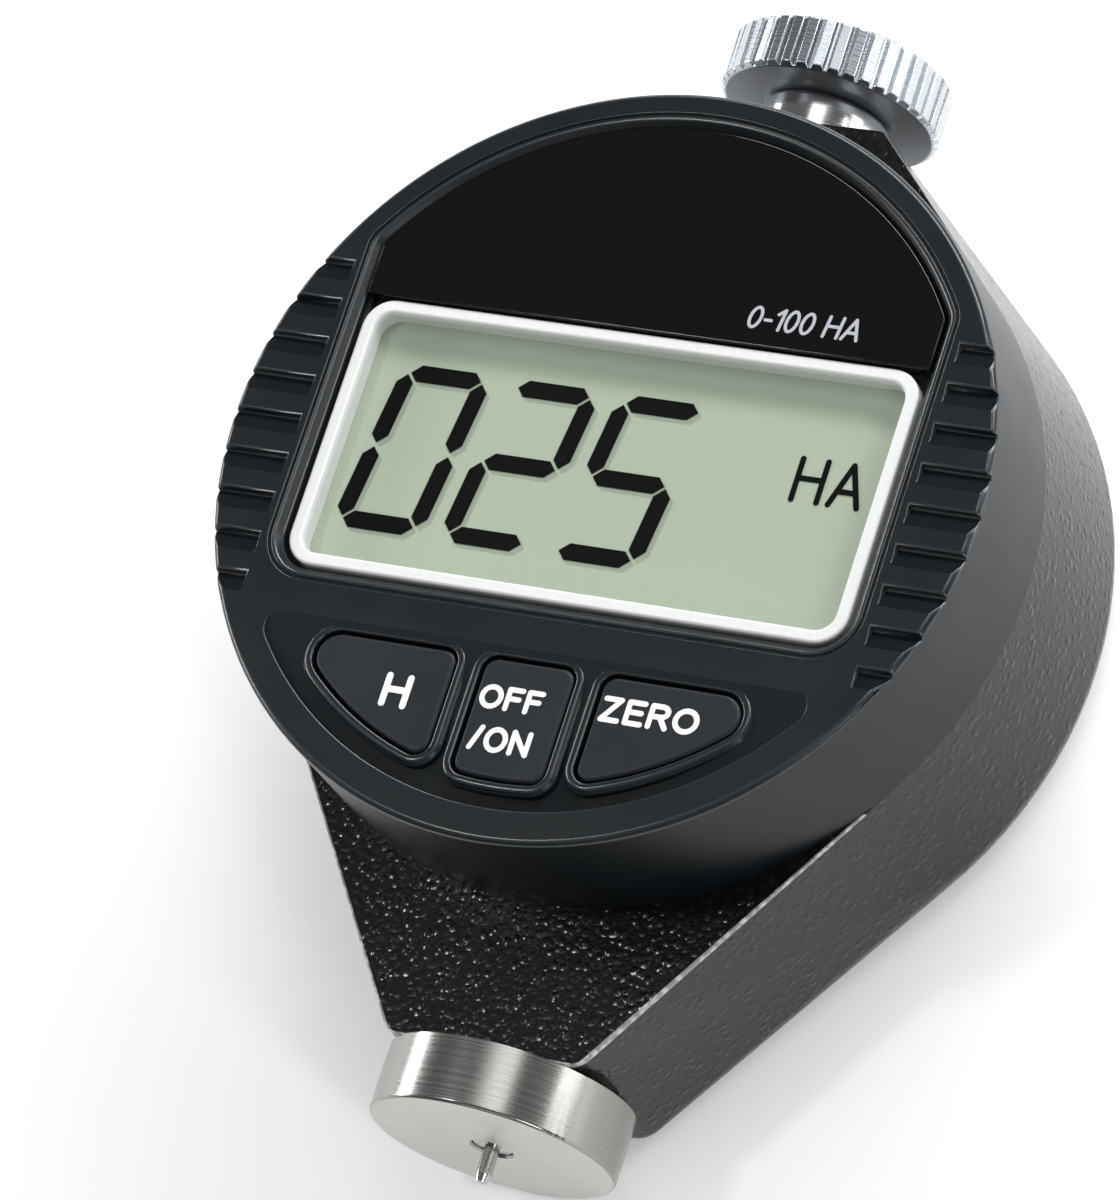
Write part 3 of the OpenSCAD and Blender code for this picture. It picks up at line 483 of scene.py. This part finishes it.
def dressed(node, edge=0.0, keep=None, sharp=25.0, finish=-1):
    """Joined copy of a CAD node, with its outer edges rounded where keep says so and its faces leave room.

    The rounded edges take the piece's material of the number that finish gives, or that of their neighbours.
    """
    bm = bmesh.new()
    bm.from_mesh(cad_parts[node].data)
    bmesh.ops.remove_doubles(bm, verts=bm.verts, dist=0.002 * MM)
    bmesh.ops.dissolve_limit(bm, angle_limit=math.radians(0.4), verts=bm.verts, edges=bm.edges)
    bm.normal_update()
    weights = bm.edges.layers.float.new("bevel_weight_edge")
    # Room on a face for two roundings and a little between them
    two_roundings = 2.2 * edge
    for e in bm.edges:
        if edge and e.is_manifold and e.calc_face_angle_signed() > math.radians(sharp):
            middle = (e.verts[0].co + e.verts[1].co) / 2
            if keep is None or keep(middle):
                e[weights] = min(1.0, min(reach(face, e) for face in e.link_faces) / two_roundings)
    piece = new_piece("dressed_" + node, bm)
    if edge:
        bevel = piece.modifiers.new("Rounded edges", "BEVEL")
        bevel.limit_method = "WEIGHT"
        bevel.width = edge
        bevel.segments = 3
        bevel.material = finish
        bevel.use_clamp_overlap = False
        bevel.miter_outer = "MITER_ARC"
    smooth(piece, angle=32)
    return piece


def coat(material, *nodes):
    """Gives CAD nodes that stay in view, or lie inside, their finish."""
    for node in nodes:
        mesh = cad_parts[node].data
        mesh.materials.clear()
        mesh.materials.append(material)


def plate(bm, outline, low, high):
    """Adds a thin solid with this outline between two heights."""
    face = bm.faces.new([bm.verts.new((x, y, low)) for x, y in outline])
    top = bmesh.ops.extrude_face_region(bm, geom=[face])["geom"]
    corners = [part for part in top if isinstance(part, bmesh.types.BMVert)]
    bmesh.ops.translate(bm, vec=(0, 0, high - low), verts=corners)


def bow(cx, cy, rx, ry, first, last, steps=20):
    """Points of an elliptic arc between two angles in degrees."""
    turns = [math.radians(first + (last - first) * i / steps) for i in range(steps + 1)]
    return [(cx + rx * math.cos(a), cy + ry * math.sin(a)) for a in turns]


# Width and pen lines of each letter, one unit tall
LETTERS = {
    " ": (0.2, ()),
    "-": (0.3, ([(0, 0.42), (0.3, 0.42)],)),
    "/": (0.32, ([(0, 0), (0.32, 1)],)),
    "0": (0.52, (bow(0.26, 0.5, 0.26, 0.5, 0, 360),)),
    "1": (0.26, ([(0, 0.76), (0.26, 1), (0.26, 0)],)),
    "A": (0.74, ([(0, 0), (0.37, 1), (0.74, 0)], [(0.13, 0.34), (0.61, 0.34)])),
    "E": (0.56, ([(0.56, 1), (0, 1), (0, 0), (0.56, 0)], [(0, 0.53), (0.5, 0.53)])),
    "F": (0.54, ([(0, 0), (0, 1), (0.54, 1)], [(0, 0.53), (0.46, 0.53)])),
    "H": (0.66, ([(0, 0), (0, 1)], [(0.66, 0), (0.66, 1)], [(0, 0.53), (0.66, 0.53)])),
    "N": (0.66, ([(0, 0), (0, 1), (0.66, 0), (0.66, 1)],)),
    "O": (0.78, (bow(0.39, 0.5, 0.39, 0.5, 0, 360),)),
    "R": (0.62, ([(0, 0), (0, 1)] + bow(0.36, 0.75, 0.24, 0.25, 90, -90, 10) + [(0, 0.5)],
                 [(0.34, 0.5), (0.62, 0)])),
    "Z": (0.6, ([(0.02, 1), (0.58, 1), (0, 0), (0.6, 0)],)),
}


def lettering(name, words, centre, width, height, stroke, base, slant=0.0, gap=0.3):
    """Words drawn with a round-ended pen as thin solids on a face; lengths in metres, slant in degrees.

    Each stroke is a little thicker than the one before, so that no two tops lie in one plane.
    """
    lines, run = [], 0.0
    for letter in words:
        wide, strokes = LETTERS[letter]
        lines += [[(run + x, y) for x, y in line] for line in strokes]
        run += wide + gap
    run -= gap
    across, up, lean = (width - stroke) / run, height - stroke, math.tan(math.radians(slant))
    bm = bmesh.new()
    ink, step = 0.02 * MM, 0.0003 * MM
    for line in lines:
        spots = [(centre[0] + (x - run / 2) * across + (y - 0.5) * up * lean, centre[1] + (y - 0.5) * up)
                 for x, y in line]
        for (ax, ay), (bx, by) in zip(spots, spots[1:]):
            turn = math.degrees(math.atan2(by - ay, bx - ax))
            outline = bow(bx, by, stroke / 2, stroke / 2, turn - 90, turn + 90, 8)
            outline += bow(ax, ay, stroke / 2, stroke / 2, turn + 90, turn + 270, 8)
            ink += step
            plate(bm, outline, base, base + ink)
    bmesh.ops.recalc_face_normals(bm, faces=bm.faces)
    return new_piece(name, bm)


# The seven segments of a digit, and those that each figure lights
SEGMENTS = {"0": "ABCDEF", "1": "BC", "2": "ABGED", "3": "ABGCD", "4": "FGBC", "5": "AFGCD", "6": "AFGECD",
            "7": "ABC", "8": "ABCDEFG", "9": "AFGBCD"}


def segment_outline(segment, w, h, t, g):
    """Corners of one segment in a digit of width w and height h, with stroke t and gap g."""
    bar = [(t / 2 + g, t / 2), (t + g, 0), (w - t - g, 0), (w - t / 2 - g, t / 2), (w - t - g, t), (t + g, t)]
    post = [(t / 2, t / 2 + g), (t, t + g), (t, h / 2 - t / 2 - g), (t / 2, h / 2 - g),
            (0, h / 2 - t / 2 - g), (0, t + g)]
    shapes = {
        "D": bar,
        "A": [(x, h - y) for x, y in bar],
        "E": post,
        "F": [(x, h - y) for x, y in post],
        "C": [(w - x, y) for x, y in post],
        "B": [(w - x, h - y) for x, y in post],
        "G": [(t / 2 + g, h / 2), (t + g, h / 2 + t / 2), (w - t - g, h / 2 + t / 2),
              (w - t / 2 - g, h / 2), (w - t - g, h / 2 - t / 2), (t + g, h / 2 - t / 2)],
    }
    return shapes[segment]


def digits(name, look, base, depth, shift=(0.0, 0.0)):
    """The reading as thin slanted segments that stand on height base."""
    bm = bmesh.new()
    lean = math.tan(look.slant)
    for i, figure in enumerate(look.reading):
        x0 = DISPLAY_CENTRE.x - look.left + i * look.digit_pitch + shift[0]
        y0 = DISPLAY_CENTRE.y - look.low + shift[1]
        for segment in SEGMENTS[figure]:
            outline = segment_outline(segment, look.digit_width, look.digit_height, look.stroke, look.gap)
            plate(bm, [(x0 + x + y * lean, y0 + y) for x, y in outline], base, base + depth)
    bmesh.ops.recalc_face_normals(bm, faces=bm.faces)
    return new_piece(name, bm)


def turned(name, profile, axis_z, segments):
    """A body of revolution about the indenter's direction: profile holds (radius, y) from end to end."""
    bm = bmesh.new()
    turns = [2 * math.pi * i / segments for i in range(segments)]
    rings = []
    for radius, y in profile:
        around = turns if radius else turns[:1]
        rings.append([bm.verts.new((radius * math.cos(a), y, axis_z + radius * math.sin(a))) for a in around])
    for low, high in zip(rings, rings[1:]):
        for i in range(segments):
            j = (i + 1) % segments
            corners = [low[i % len(low)], low[j % len(low)], high[j % len(high)], high[i % len(high)]]
            bm.faces.new(list(dict.fromkeys(corners)))
    bmesh.ops.recalc_face_normals(bm, faces=bm.faces)
    return new_piece(name, bm)


def ridge_tree(material):
    """Geometry nodes that set flat-topped ridges round a circle whose axis is +Z."""
    tree = bpy.data.node_groups.new("Ridge ring", "GeometryNodeTree")
    tree.interface.new_socket("Count", in_out="INPUT", socket_type="NodeSocketInt")
    for name in ("Radius", "Width", "Length", "Depth", "Narrowing", "Shortening"):
        tree.interface.new_socket(name, in_out="INPUT", socket_type="NodeSocketFloat")
    tree.interface.new_socket("Geometry", in_out="OUTPUT", socket_type="NodeSocketGeometry")
    given = add(tree, "NodeGroupInput").outputs
    foot = add(tree, "GeometryNodeMeshGrid", {
        "Size X": given["Length"], "Size Y": given["Width"], "Vertices X": 2, "Vertices Y": 2,
    })
    bar = add(tree, "GeometryNodeExtrudeMesh", {"Mesh": foot.outputs[0], "Offset Scale": given["Depth"]},
              mode="FACES")
    top = bar.outputs["Top"]
    narrow = add(tree, "GeometryNodeScaleElements", {
        "Geometry": bar.outputs["Mesh"], "Selection": top, "Scale": given["Narrowing"],
        "Axis": (0.0, 1.0, 0.0),
    }, domain="FACE", scale_mode="SINGLE_AXIS")
    short = add(tree, "GeometryNodeScaleElements", {
        "Geometry": narrow.outputs[0], "Selection": top, "Scale": given["Shortening"],
        "Axis": (1.0, 0.0, 0.0),
    }, domain="FACE", scale_mode="SINGLE_AXIS")
    upright = add(tree, "GeometryNodeTransform", {
        "Geometry": short.outputs[0], "Rotation": (0.0, math.pi / 2, 0.0),
    })
    circle = add(tree, "GeometryNodeMeshCircle", {"Vertices": given["Count"], "Radius": given["Radius"]})
    number = add(tree, "GeometryNodeInputIndex").outputs[0]
    share = add(tree, "ShaderNodeMath", {0: number, 1: given["Count"]}, operation="DIVIDE")
    turn = add(tree, "ShaderNodeMath", {0: share.outputs[0], 1: 2 * math.pi}, operation="MULTIPLY")
    facing = add(tree, "ShaderNodeCombineXYZ", {"Z": turn.outputs[0]})
    ring = add(tree, "GeometryNodeInstanceOnPoints", {
        "Points": circle.outputs[0], "Instance": upright.outputs[0], "Rotation": facing.outputs[0],
    })
    real = add(tree, "GeometryNodeRealizeInstances", {"Geometry": ring.outputs[0]})
    finish = add(tree, "GeometryNodeSetMaterial", {"Geometry": real.outputs[0], "Material": material})
    add(tree, "NodeGroupOutput", {"Geometry": finish.outputs[0]})
    return tree


def grown(name, tree, values, place):
    """Plain mesh of a geometry node tree with these named inputs, put in its place."""
    host = bpy.data.objects.new(name, bpy.data.meshes.new(name))
    bpy.context.scene.collection.objects.link(host)
    modifier = host.modifiers.new("Nodes", "NODES")
    modifier.node_group = tree
    for item in tree.interface.items_tree:
        if item.in_out == "INPUT":
            modifier[item.identifier] = values[item.name]
    bpy.context.view_layer.update()
    mesh = bpy.data.meshes.new_from_object(host.evaluated_get(bpy.context.evaluated_depsgraph_get()))
    host.modifiers.remove(modifier)
    mesh.transform(place)
    host.data = mesh
    return host


# Operators

class DUROMETER_OT_casting(bpy.types.Operator):
    """Dress the casting in its grained paint"""
    bl_idname = "durometer.casting"
    bl_label = "Casting"

    def execute(self, context):
        look = context.scene.durometer_casting
        paint = grained_paint("Black grained paint on cast aluminium", look.paint, look.crest, look.grain,
                              look.relief)
        # The second paint is a painted highlight along the nose's front edges: pale on the grain's crests,
        # darker in its valleys
        highlight_valley = tuple(0.45 * c for c in look.edge_highlight)
        edge_highlight = grained_paint("Black paint lightened as a painted edge highlight", highlight_valley, look.edge_highlight, look.grain,
                               look.relief * 0.1)
        casting = declare(dressed("body_casting"), "body", "casting_paint", paint, "body_casting")
        casting.data.materials.append(edge_highlight)
        self.paint_edge_highlight(casting, look.line, look.line_end)
        return {"FINISHED"}

    def paint_edge_highlight(self, casting, line, line_end):
        """Gives the nose's rounded front edges, and a thin line beside them, the second material: a painted
        highlight.
        """
        bm = bmesh.new()
        bm.from_mesh(casting.data)
        bmesh.ops.bisect_plane(bm, geom=bm.verts[:] + bm.edges[:] + bm.faces[:], plane_co=(0, line_end, 0),
                               plane_no=(0, 1, 0))
        nose = [face for face in bm.faces if face.calc_center_median().y < line_end]
        # The normal of a rounded edge rises between these
        least, most = 0.12, 0.985
        rounded = {face for face in nose if least < face.normal.z < most}
        for face in rounded:
            face.material_index = 1
        rims = []
        long_edge = 5 * MM
        for face in self.front(nose, line_end):
            for rim in (edge for edge in face.edges if edge.calc_length() > long_edge):
                for side in rounded.intersection(rim.link_faces):
                    out = Vector((side.normal.x, side.normal.y, 0)).normalized()
                    rims.append((rim.verts[0].co - out * line, out))
        for place, out in rims:
            flat = self.front(bm.faces, line_end)
            parts = {part for face in flat for part in (*face.verts, *face.edges, face)}
            bmesh.ops.bisect_plane(bm, geom=list(parts), plane_co=place, plane_no=out)
            for face in self.front(bm.faces, line_end):
                if (face.calc_center_median() - place).dot(out) > 0:
                    face.material_index = 1
        bm.to_mesh(casting.data)
        bm.free()

    def front(self, faces, line_end):
        """Those faces that lie flat on the front of the nose."""
        return [face for face in faces if face.normal.z > 0.999 and face.calc_center_median().y < line_end]


class DUROMETER_OT_metal(bpy.types.Operator):
    """Finish the foot, the indenter, the neck and the ridged knob"""
    bl_idname = "durometer.metal"
    bl_label = "Foot and knob"

    def execute(self, context):
        look = context.scene.durometer_metal
        pitch = look.turning
        steel = turned_metal("Polished stainless steel", look.steel, roughness=0.22, pitch=pitch)
        # The flat face is rougher than the sides, and its lighter colour is painted light
        lapped_and_lit = turned_metal("Lapped stainless steel with painted light", look.lapped_and_lit, roughness=0.38, pitch=pitch)
        chrome = turned_metal("Bright chromed steel", look.chrome, roughness=0.16, pitch=pitch)
        ridged = turned_metal("Satin chromed steel", look.knob, roughness=0.26, pitch=pitch)
        # The knob's face towards the foot is rougher, and its darker colour is painted shade
        dull_and_shaded = turned_metal("Dull turned steel with painted shade", look.shaded_underside, roughness=0.42, pitch=pitch)
        ground = turned_metal("Ground hardened steel", linear("C4C4C2"), roughness=0.22, pitch=pitch)
        foot = declare(dressed("presser_foot"), "body", "polished_steel", steel, "presser_foot")
        refinish(foot, lapped_and_lit, self.near)
        coat(ground, "indenter", "spindle", "guide_pin")
        declare(dressed("knob_stem", look.edge), "body", "knob_chrome", chrome, "knob_stem")
        refinish(self.knob(look, ridged), dull_and_shaded, self.near)
        return {"FINISHED"}

    def near(self, normal):
        """Whether a face looks towards the indenter's point."""
        return normal.y < -0.9

    def knob(self, look, finish):
        """A turned core with the ridges grown round it, joined as one piece."""
        # The ridges stay this far inside the solid's box, and their feet this far inside the core
        margin, sunk = 0.01 * MM, 0.02 * MM
        # Room beyond the neck's end, radius of the hole for the neck, and chamfer of the core
        room, stud, corner = 0.3 * MM, 2.55 * MM, 0.1 * MM
        radius = (KNOB_HIGH.x - KNOB_LOW.x) / 2 - margin
        low, high = KNOB_LOW.y, KNOB_HIGH.y
        core = radius - look.ridge_depth
        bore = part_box("knob_stem")[HIGH].y + room
        profile = [(0, bore), (stud, bore), (stud, low), (core - corner, low), (core, low + corner),
                   (core, high - corner), (core - corner, high), (0, high)]
        piece = turned("dressed_knob", profile, KNOB_AXIS_Z, segments=4 * look.ridges)
        span = high - low - corner
        middle = Matrix.Translation((0, (low + high) / 2, KNOB_AXIS_Z))
        ridges = grown("knob_ridges", ridge_tree(finish), {
            "Count": look.ridges, "Radius": core - sunk, "Width": look.ridge_width, "Length": span,
            "Depth": look.ridge_depth, "Narrowing": 0.7, "Shortening": 1 - 2 * look.chamfer / span,
        }, middle @ Matrix.Rotation(math.pi / 2, 4, "X"))
        bm = bmesh.new()
        bm.from_mesh(piece.data)
        bm.from_mesh(ridges.data)
        bm.to_mesh(piece.data)
        bm.free()
        bpy.data.objects.remove(ridges)
        soft = piece.modifiers.new("Rounded edges", "BEVEL")
        soft.limit_method = "ANGLE"
        soft.angle_limit = math.radians(25)
        soft.width = 0.06 * MM
        soft.segments = 2
        smooth(piece, angle=40)
        return declare(piece, "handle_knob", "knob_chrome", finish, "knob")


class DUROMETER_OT_head(bpy.types.Operator):
    """Dress the housing, the nameplate, the battery tray and the cover behind them"""
    bl_idname = "durometer.head"
    bl_label = "Head"

    def execute(self, context):
        look = context.scene.durometer_head
        grain, relief = look.texture, look.texture_depth
        plastic = moulded_plastic("Satin black ABS", look.plastic, grain, relief, roughness=(0.36, 0.42))
        # The rounded edges are glossier, and their lighter colour is a painted highlight along them
        polish_and_highlight = moulded_plastic("Polished edge of black ABS with a painted highlight", look.polish_and_highlight, grain, relief=0.001 * MM,
                               roughness=(0.22, 0.3), shine=0.7)
        matt = moulded_plastic("Matt black ABS", look.plastic, grain, relief,
                               roughness=(0.6, 0.7), shine=0.08)
        quiet = moulded_plastic("Low-sheen black ABS", look.plastic, grain, relief,
                                roughness=(0.5, 0.6), shine=0.18)
        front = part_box("lcd_surround")[LOW].z
        # The rounded front edges take material 1: glossier, with a painted highlight
        housing = dressed("head_bezel", look.edge, lambda p: p.z > front, finish=1)
        declare(housing, "body", "head_plastic", plastic, "head_bezel").data.materials.append(polish_and_highlight)
        # The slopes of the grip grooves lean back, and the floor round the keys leans 5 degrees forward
        refinish(housing, matt, lambda normal: normal.z > 0.9 and normal.y > 0.12)
        refinish(housing, quiet, lambda normal: normal.z > 0.99 and -0.12 < normal.y < -0.06)
        declare(dressed("battery_tray", look.edge), "tray", "head_plastic", plastic, "battery_tray")
        panel = dressed("nameplate", look.plate_edge)
        declare(panel, "body", "gloss_panel", gloss_acrylic(look), "nameplate")
        coat(plastic, "head_rear_cover")
        words = lettering("range_legend", "0-100 HA", centre=(11.87 * MM, 12.5 * MM), width=8.67 * MM,
                          height=1.8 * MM, stroke=0.24 * MM, base=PLATE_TOP, slant=8, gap=0.24)
        declare(words, "body", "white_frame", printed_ink("Pale screen-printed ink", look.plate_ink))
        return {"FINISHED"}


class DUROMETER_OT_keys(bpy.types.Operator):
    """Dress the three keys and print their lettering"""
    bl_idname = "durometer.keys"
    bl_label = "Keys"

    def execute(self, context):
        look = context.scene.durometer_head
        plastic = moulded_plastic("Matt black key plastic", look.key, look.texture, relief=0.005 * MM,
                                  roughness=(0.4, 0.5))
        ink = printed_ink("White pad-printed ink", look.ink)
        crown = KEY_TOP - 0.4 * MM
        for node, body in (("hold_button", "hold_key"), ("power_button", "power_key"),
                           ("zero_button", "zero_key")):
            cap = dressed(node, look.key_edge, lambda p: p.z > crown, sharp=15)
            declare(cap, body, "key_plastic", plastic, node)
        for name, words, body, x, y, width, height, stroke in (
                ("hold_legend", "H", "hold_key", -9.4, -19.1, 2.15, 2.6, 0.5),
                ("power_legend_off", "OFF", "power_key", -0.65, -18.4, 4.9, 1.85, 0.39),
                ("power_legend_on", "/ON", "power_key", -0.5, -21.5, 4.7, 1.95, 0.39),
                ("zero_legend", "ZERO", "zero_key", 9.85, -17.95, 7.5, 1.95, 0.4)):
            piece = lettering(name, words, (x * MM, y * MM), width * MM, height * MM, stroke * MM, KEY_TOP)
            declare(piece, body, "white_frame", ink)
        return {"FINISHED"}


class DUROMETER_OT_display(bpy.types.Operator):
    """Dress the display and write its reading"""
    bl_idname = "durometer.display"
    bl_label = "Display"

    def execute(self, context):
        look = context.scene.durometer_display
        white = moulded_plastic("White moulded ABS", look.surround, grain=0.3 * MM, relief=0.002 * MM,
                                roughness=(0.28, 0.36))
        declare(dressed("lcd_surround", look.edge), "body", "white_frame", white, "lcd_surround")
        coat(clear_acrylic(), "display_window")
        coat(liquid_crystal(look), "lcd_panel")
        dark = printed_ink("Dark liquid crystal segments", look.dark, sheen=0.1)
        faint = printed_ink("Shadow of the segments on the foil", tuple(c * 0.72 for c in look.panel))
        foil, film = PANEL_TOP + 0.004 * MM, PANEL_TOP + 0.03 * MM
        shadow = digits("reading_shadow", look, foil, depth=0.006 * MM, shift=(0.35 * MM, -0.3 * MM))
        declare(shadow, "body", "liquid_crystal", faint)
        declare(digits("reading", look, film, depth=0.02 * MM), "body", "liquid_crystal", dark)
        unit = lettering("reading_unit", look.unit, centre=(16.45 * MM, 1.75 * MM), width=5.4 * MM,
                         height=3.55 * MM, stroke=0.42 * MM, base=film)
        declare(unit, "body", "liquid_crystal", dark)
        return {"FINISHED"}


class DUROMETER_OT_inside(bpy.types.Operator):
    """Finish the pieces inside the casting and the head"""
    bl_idname = "durometer.inside"
    bl_label = "Inside"

    def execute(self, context):
        pitch = context.scene.durometer_metal.turning
        brass = turned_metal("Turned brass", linear("C9A65A"), roughness=0.25, pitch=pitch)
        sprung = turned_metal("Bright spring steel", linear("B4B6B8"), roughness=0.25, pitch=pitch)
        zinc = turned_metal("Zinc-plated steel", linear("C3C6CA"), roughness=0.3, pitch=pitch)
        nickel = turned_metal("Nickel-plated steel can", linear("D2CFC6"), roughness=0.2, pitch=pitch)
        epoxy = moulded_plastic("Black epoxy moulding", linear("1A1A1A"), grain=0.1 * MM, relief=0.004 * MM,
                                roughness=(0.5, 0.6))
        coat(brass, "spring_seat", "lower_bush", "spring_adjuster", "scale_carrier", "upper_contact",
             "lower_contact")
        for node, joint, along, held in (
                ("load_spring", "indenter_slide", Y, HIGH),
                ("hold_dome", "hold_press", Z, LOW),
                ("power_dome", "power_press", Z, LOW),
                ("zero_dome", "zero_press", Z, LOW)):
            self.give(node, joint, along, held, sprung)
        coat(zinc, "lock_nut", "guide_bracket", "bracket_screws", "board_screws", "head_screws")
        coat(nickel, "battery_cell")
        coat(solder_mask(), "main_board", "sensor_board", "scale_strip")
        coat(epoxy, "controller_chip", "board_header")
        coat(zebra_silicone(), "elastomer_strips")
        return {"FINISHED"}

    def give(self, node, joint, along, held, material):
        """A spring, dressed with its material and its body and given a mesh of its own; its joint, axis and
        held end are not used.
        """
        piece = declare(dressed(node), "body", "spring_steel", material, node)
        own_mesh(piece)


class DUROMETER_OT_stage(bpy.types.Operator):
    """Set the pale floor, the soft lights and the camera"""
    bl_idname = "durometer.stage"
    bl_label = "Studio"

    def execute(self, context):
        look = context.scene.durometer_stage
        self.floor(look)
        for name, watts, width, height, place in (
                ("Back light", look.back_power, 1.2, 0.15, (0.20, 0.65, 0.45)),
                ("Front light", look.front_power, 0.4, 0.2, (0.05, -0.50, 0.35)),
                ("Left panel", look.left_power, 0.45, 0.12, (-0.57, 0.05, 0.17)),
                ("Right strip", look.right_power, 0.14, 0.22, (0.55, 0.19, 0.147)),
                ("Top light", look.top_power, 0.36, 0.2, (0.10, 0.19, 0.57)),
                ("Edge light", look.edge_power, 0.08, 0.25, (0.46, -0.29, 0.35)),
                ("Spark light", look.spark_power, 0.06, 0.06, (-0.24, -0.04, 0.55))):
            self.light(name, watts, width, height, place, aim=(0.0, 0.0, 0.01))
        world = bpy.data.worlds.new("Studio air")
        world.use_nodes = True
        tree = world.node_tree
        tree.nodes.clear()
        air = add(tree, "ShaderNodeBackground", {"Color": rgba(linear("F0F2F5")), "Strength": look.air})
        add(tree, "ShaderNodeOutputWorld", {"Surface": air.outputs[0]})
        context.scene.world = world
        context.scene.view_settings.view_transform = "Standard"
        lens = bpy.data.cameras.new("Camera")
        lens.lens = look.lens
        lens.sensor_width = 36.0
        lens.clip_start, lens.clip_end = 0.01, 20.0
        camera = bpy.data.objects.new("Camera", lens)
        camera.location = look.camera_place
        camera.rotation_euler = look.camera_turn
        context.scene.collection.objects.link(camera)
        context.scene.camera = camera
        return {"FINISHED"}

    def floor(self, look):
        """White paper that keeps the shadow and lifts to white where it is seen, most at the back right."""
        material, tree, place = start("White paper sweep")
        fibre = add(tree, "ShaderNodeTexNoise", {"Vector": place, "Scale": per(1.11), "Detail": 2.0})
        tone = add(tree, "ShaderNodeMix", {
            FACTOR: fibre.outputs[0], FIRST: shade(look.floor, 0.985), SECOND: rgba(look.floor),
        }, data_type="RGBA").outputs[MIXED]
        paper = add(tree, "ShaderNodeBsdfDiffuse", {"Color": tone})
        back_right = add(tree, "ShaderNodeVectorMath", {0: place, 1: (0.5, 0.85, 0.0)},
                         operation="DOT_PRODUCT")
        rise = add(tree, "ShaderNodeMapRange", {
            "Value": back_right.outputs["Value"], "From Min": 0.0, "From Max": 50 * MM,
            "To Min": look.glow, "To Max": look.glow_back,
        })
        glow = add(tree, "ShaderNodeEmission", {"Color": tone, "Strength": rise.outputs[0]})
        ray = add(tree, "ShaderNodeLightPath").outputs
        clear = add(tree, "ShaderNodeMath", {0: ray["Is Camera Ray"], 1: ray["Is Transmission Ray"]},
                    operation="MAXIMUM")
        seen = add(tree, "ShaderNodeMath", {0: clear.outputs[0], 1: ray["Is Glossy Ray"]},
                   operation="MAXIMUM")
        lift = add(tree, "ShaderNodeMixShader", {0: seen.outputs[0], 2: glow.outputs[0]})
        both = add(tree, "ShaderNodeAddShader", {0: paper.outputs[0], 1: lift.outputs[0]})
        add(tree, "ShaderNodeOutputMaterial", {"Surface": both.outputs[0]})
        bm = bmesh.new()
        bmesh.ops.create_grid(bm, x_segments=1, y_segments=1, size=3.0)
        gap = 0.05 * MM
        bmesh.ops.translate(bm, vec=(0, 0, CAD_BOX[LOW].z - gap), verts=bm.verts)
        sweep = new_piece("floor", bm)
        sweep.data.materials.append(material)

    def light(self, name, watts, width, height, place, aim):
        """A soft box that looks at a point."""
        lamp = bpy.data.lights.new(name, "AREA")
        lamp.shape = "RECTANGLE"
        lamp.size, lamp.size_y = width, height
        lamp.energy = watts
        box = bpy.data.objects.new(name, lamp)
        box.location = place
        box.rotation_euler = (Vector(aim) - Vector(place)).to_track_quat("-Z", "Y").to_euler()
        bpy.context.scene.collection.objects.link(box)


class DUROMETER_PT_sidebar(bpy.types.Panel):
    """Sizes, colours and steps of the durometer"""
    bl_idname = "DUROMETER_PT_sidebar"
    bl_label = "Digital durometer"
    bl_space_type = "VIEW_3D"
    bl_region_type = "UI"
    bl_category = "Durometer"

    def draw(self, context):
        for name, group, operators in STEPS:
            box = self.layout.box()
            for operator in operators:
                box.operator(operator.bl_idname)
            if group is None:
                continue
            settings = getattr(context.scene, name)
            for key in group.__annotations__:
                box.prop(settings, key)


STEPS = (
    ("durometer_casting", DurometerCasting, (DUROMETER_OT_casting,)),
    ("durometer_metal", DurometerMetal, (DUROMETER_OT_metal,)),
    ("durometer_head", DurometerHead, (DUROMETER_OT_head, DUROMETER_OT_keys)),
    ("durometer_display", DurometerDisplay, (DUROMETER_OT_display,)),
    ("durometer_inside", None, (DUROMETER_OT_inside,)),
    ("durometer_stage", DurometerStage, (DUROMETER_OT_stage,)),
)


def register():
    """Registers the settings, the operators and the panel."""
    for name, group, operators in STEPS:
        if group is not None:
            bpy.utils.register_class(group)
            setattr(bpy.types.Scene, name, PointerProperty(type=group))
        for operator in operators:
            bpy.utils.register_class(operator)
    bpy.utils.register_class(DUROMETER_PT_sidebar)


def unregister():
    """Takes them away again."""
    bpy.utils.unregister_class(DUROMETER_PT_sidebar)
    for name, group, operators in reversed(STEPS):
        for operator in operators:
            bpy.utils.unregister_class(operator)
        if group is not None:
            delattr(bpy.types.Scene, name)
            bpy.utils.unregister_class(group)


def main():
    """Runs every step in order."""
    register()
    for name, group, operators in STEPS:
        for operator in operators:
            module, step = operator.bl_idname.split(".")
            getattr(getattr(bpy.ops, module), step)()
    bpy.context.view_layer.update()


if __name__ == "__main__":
    main()
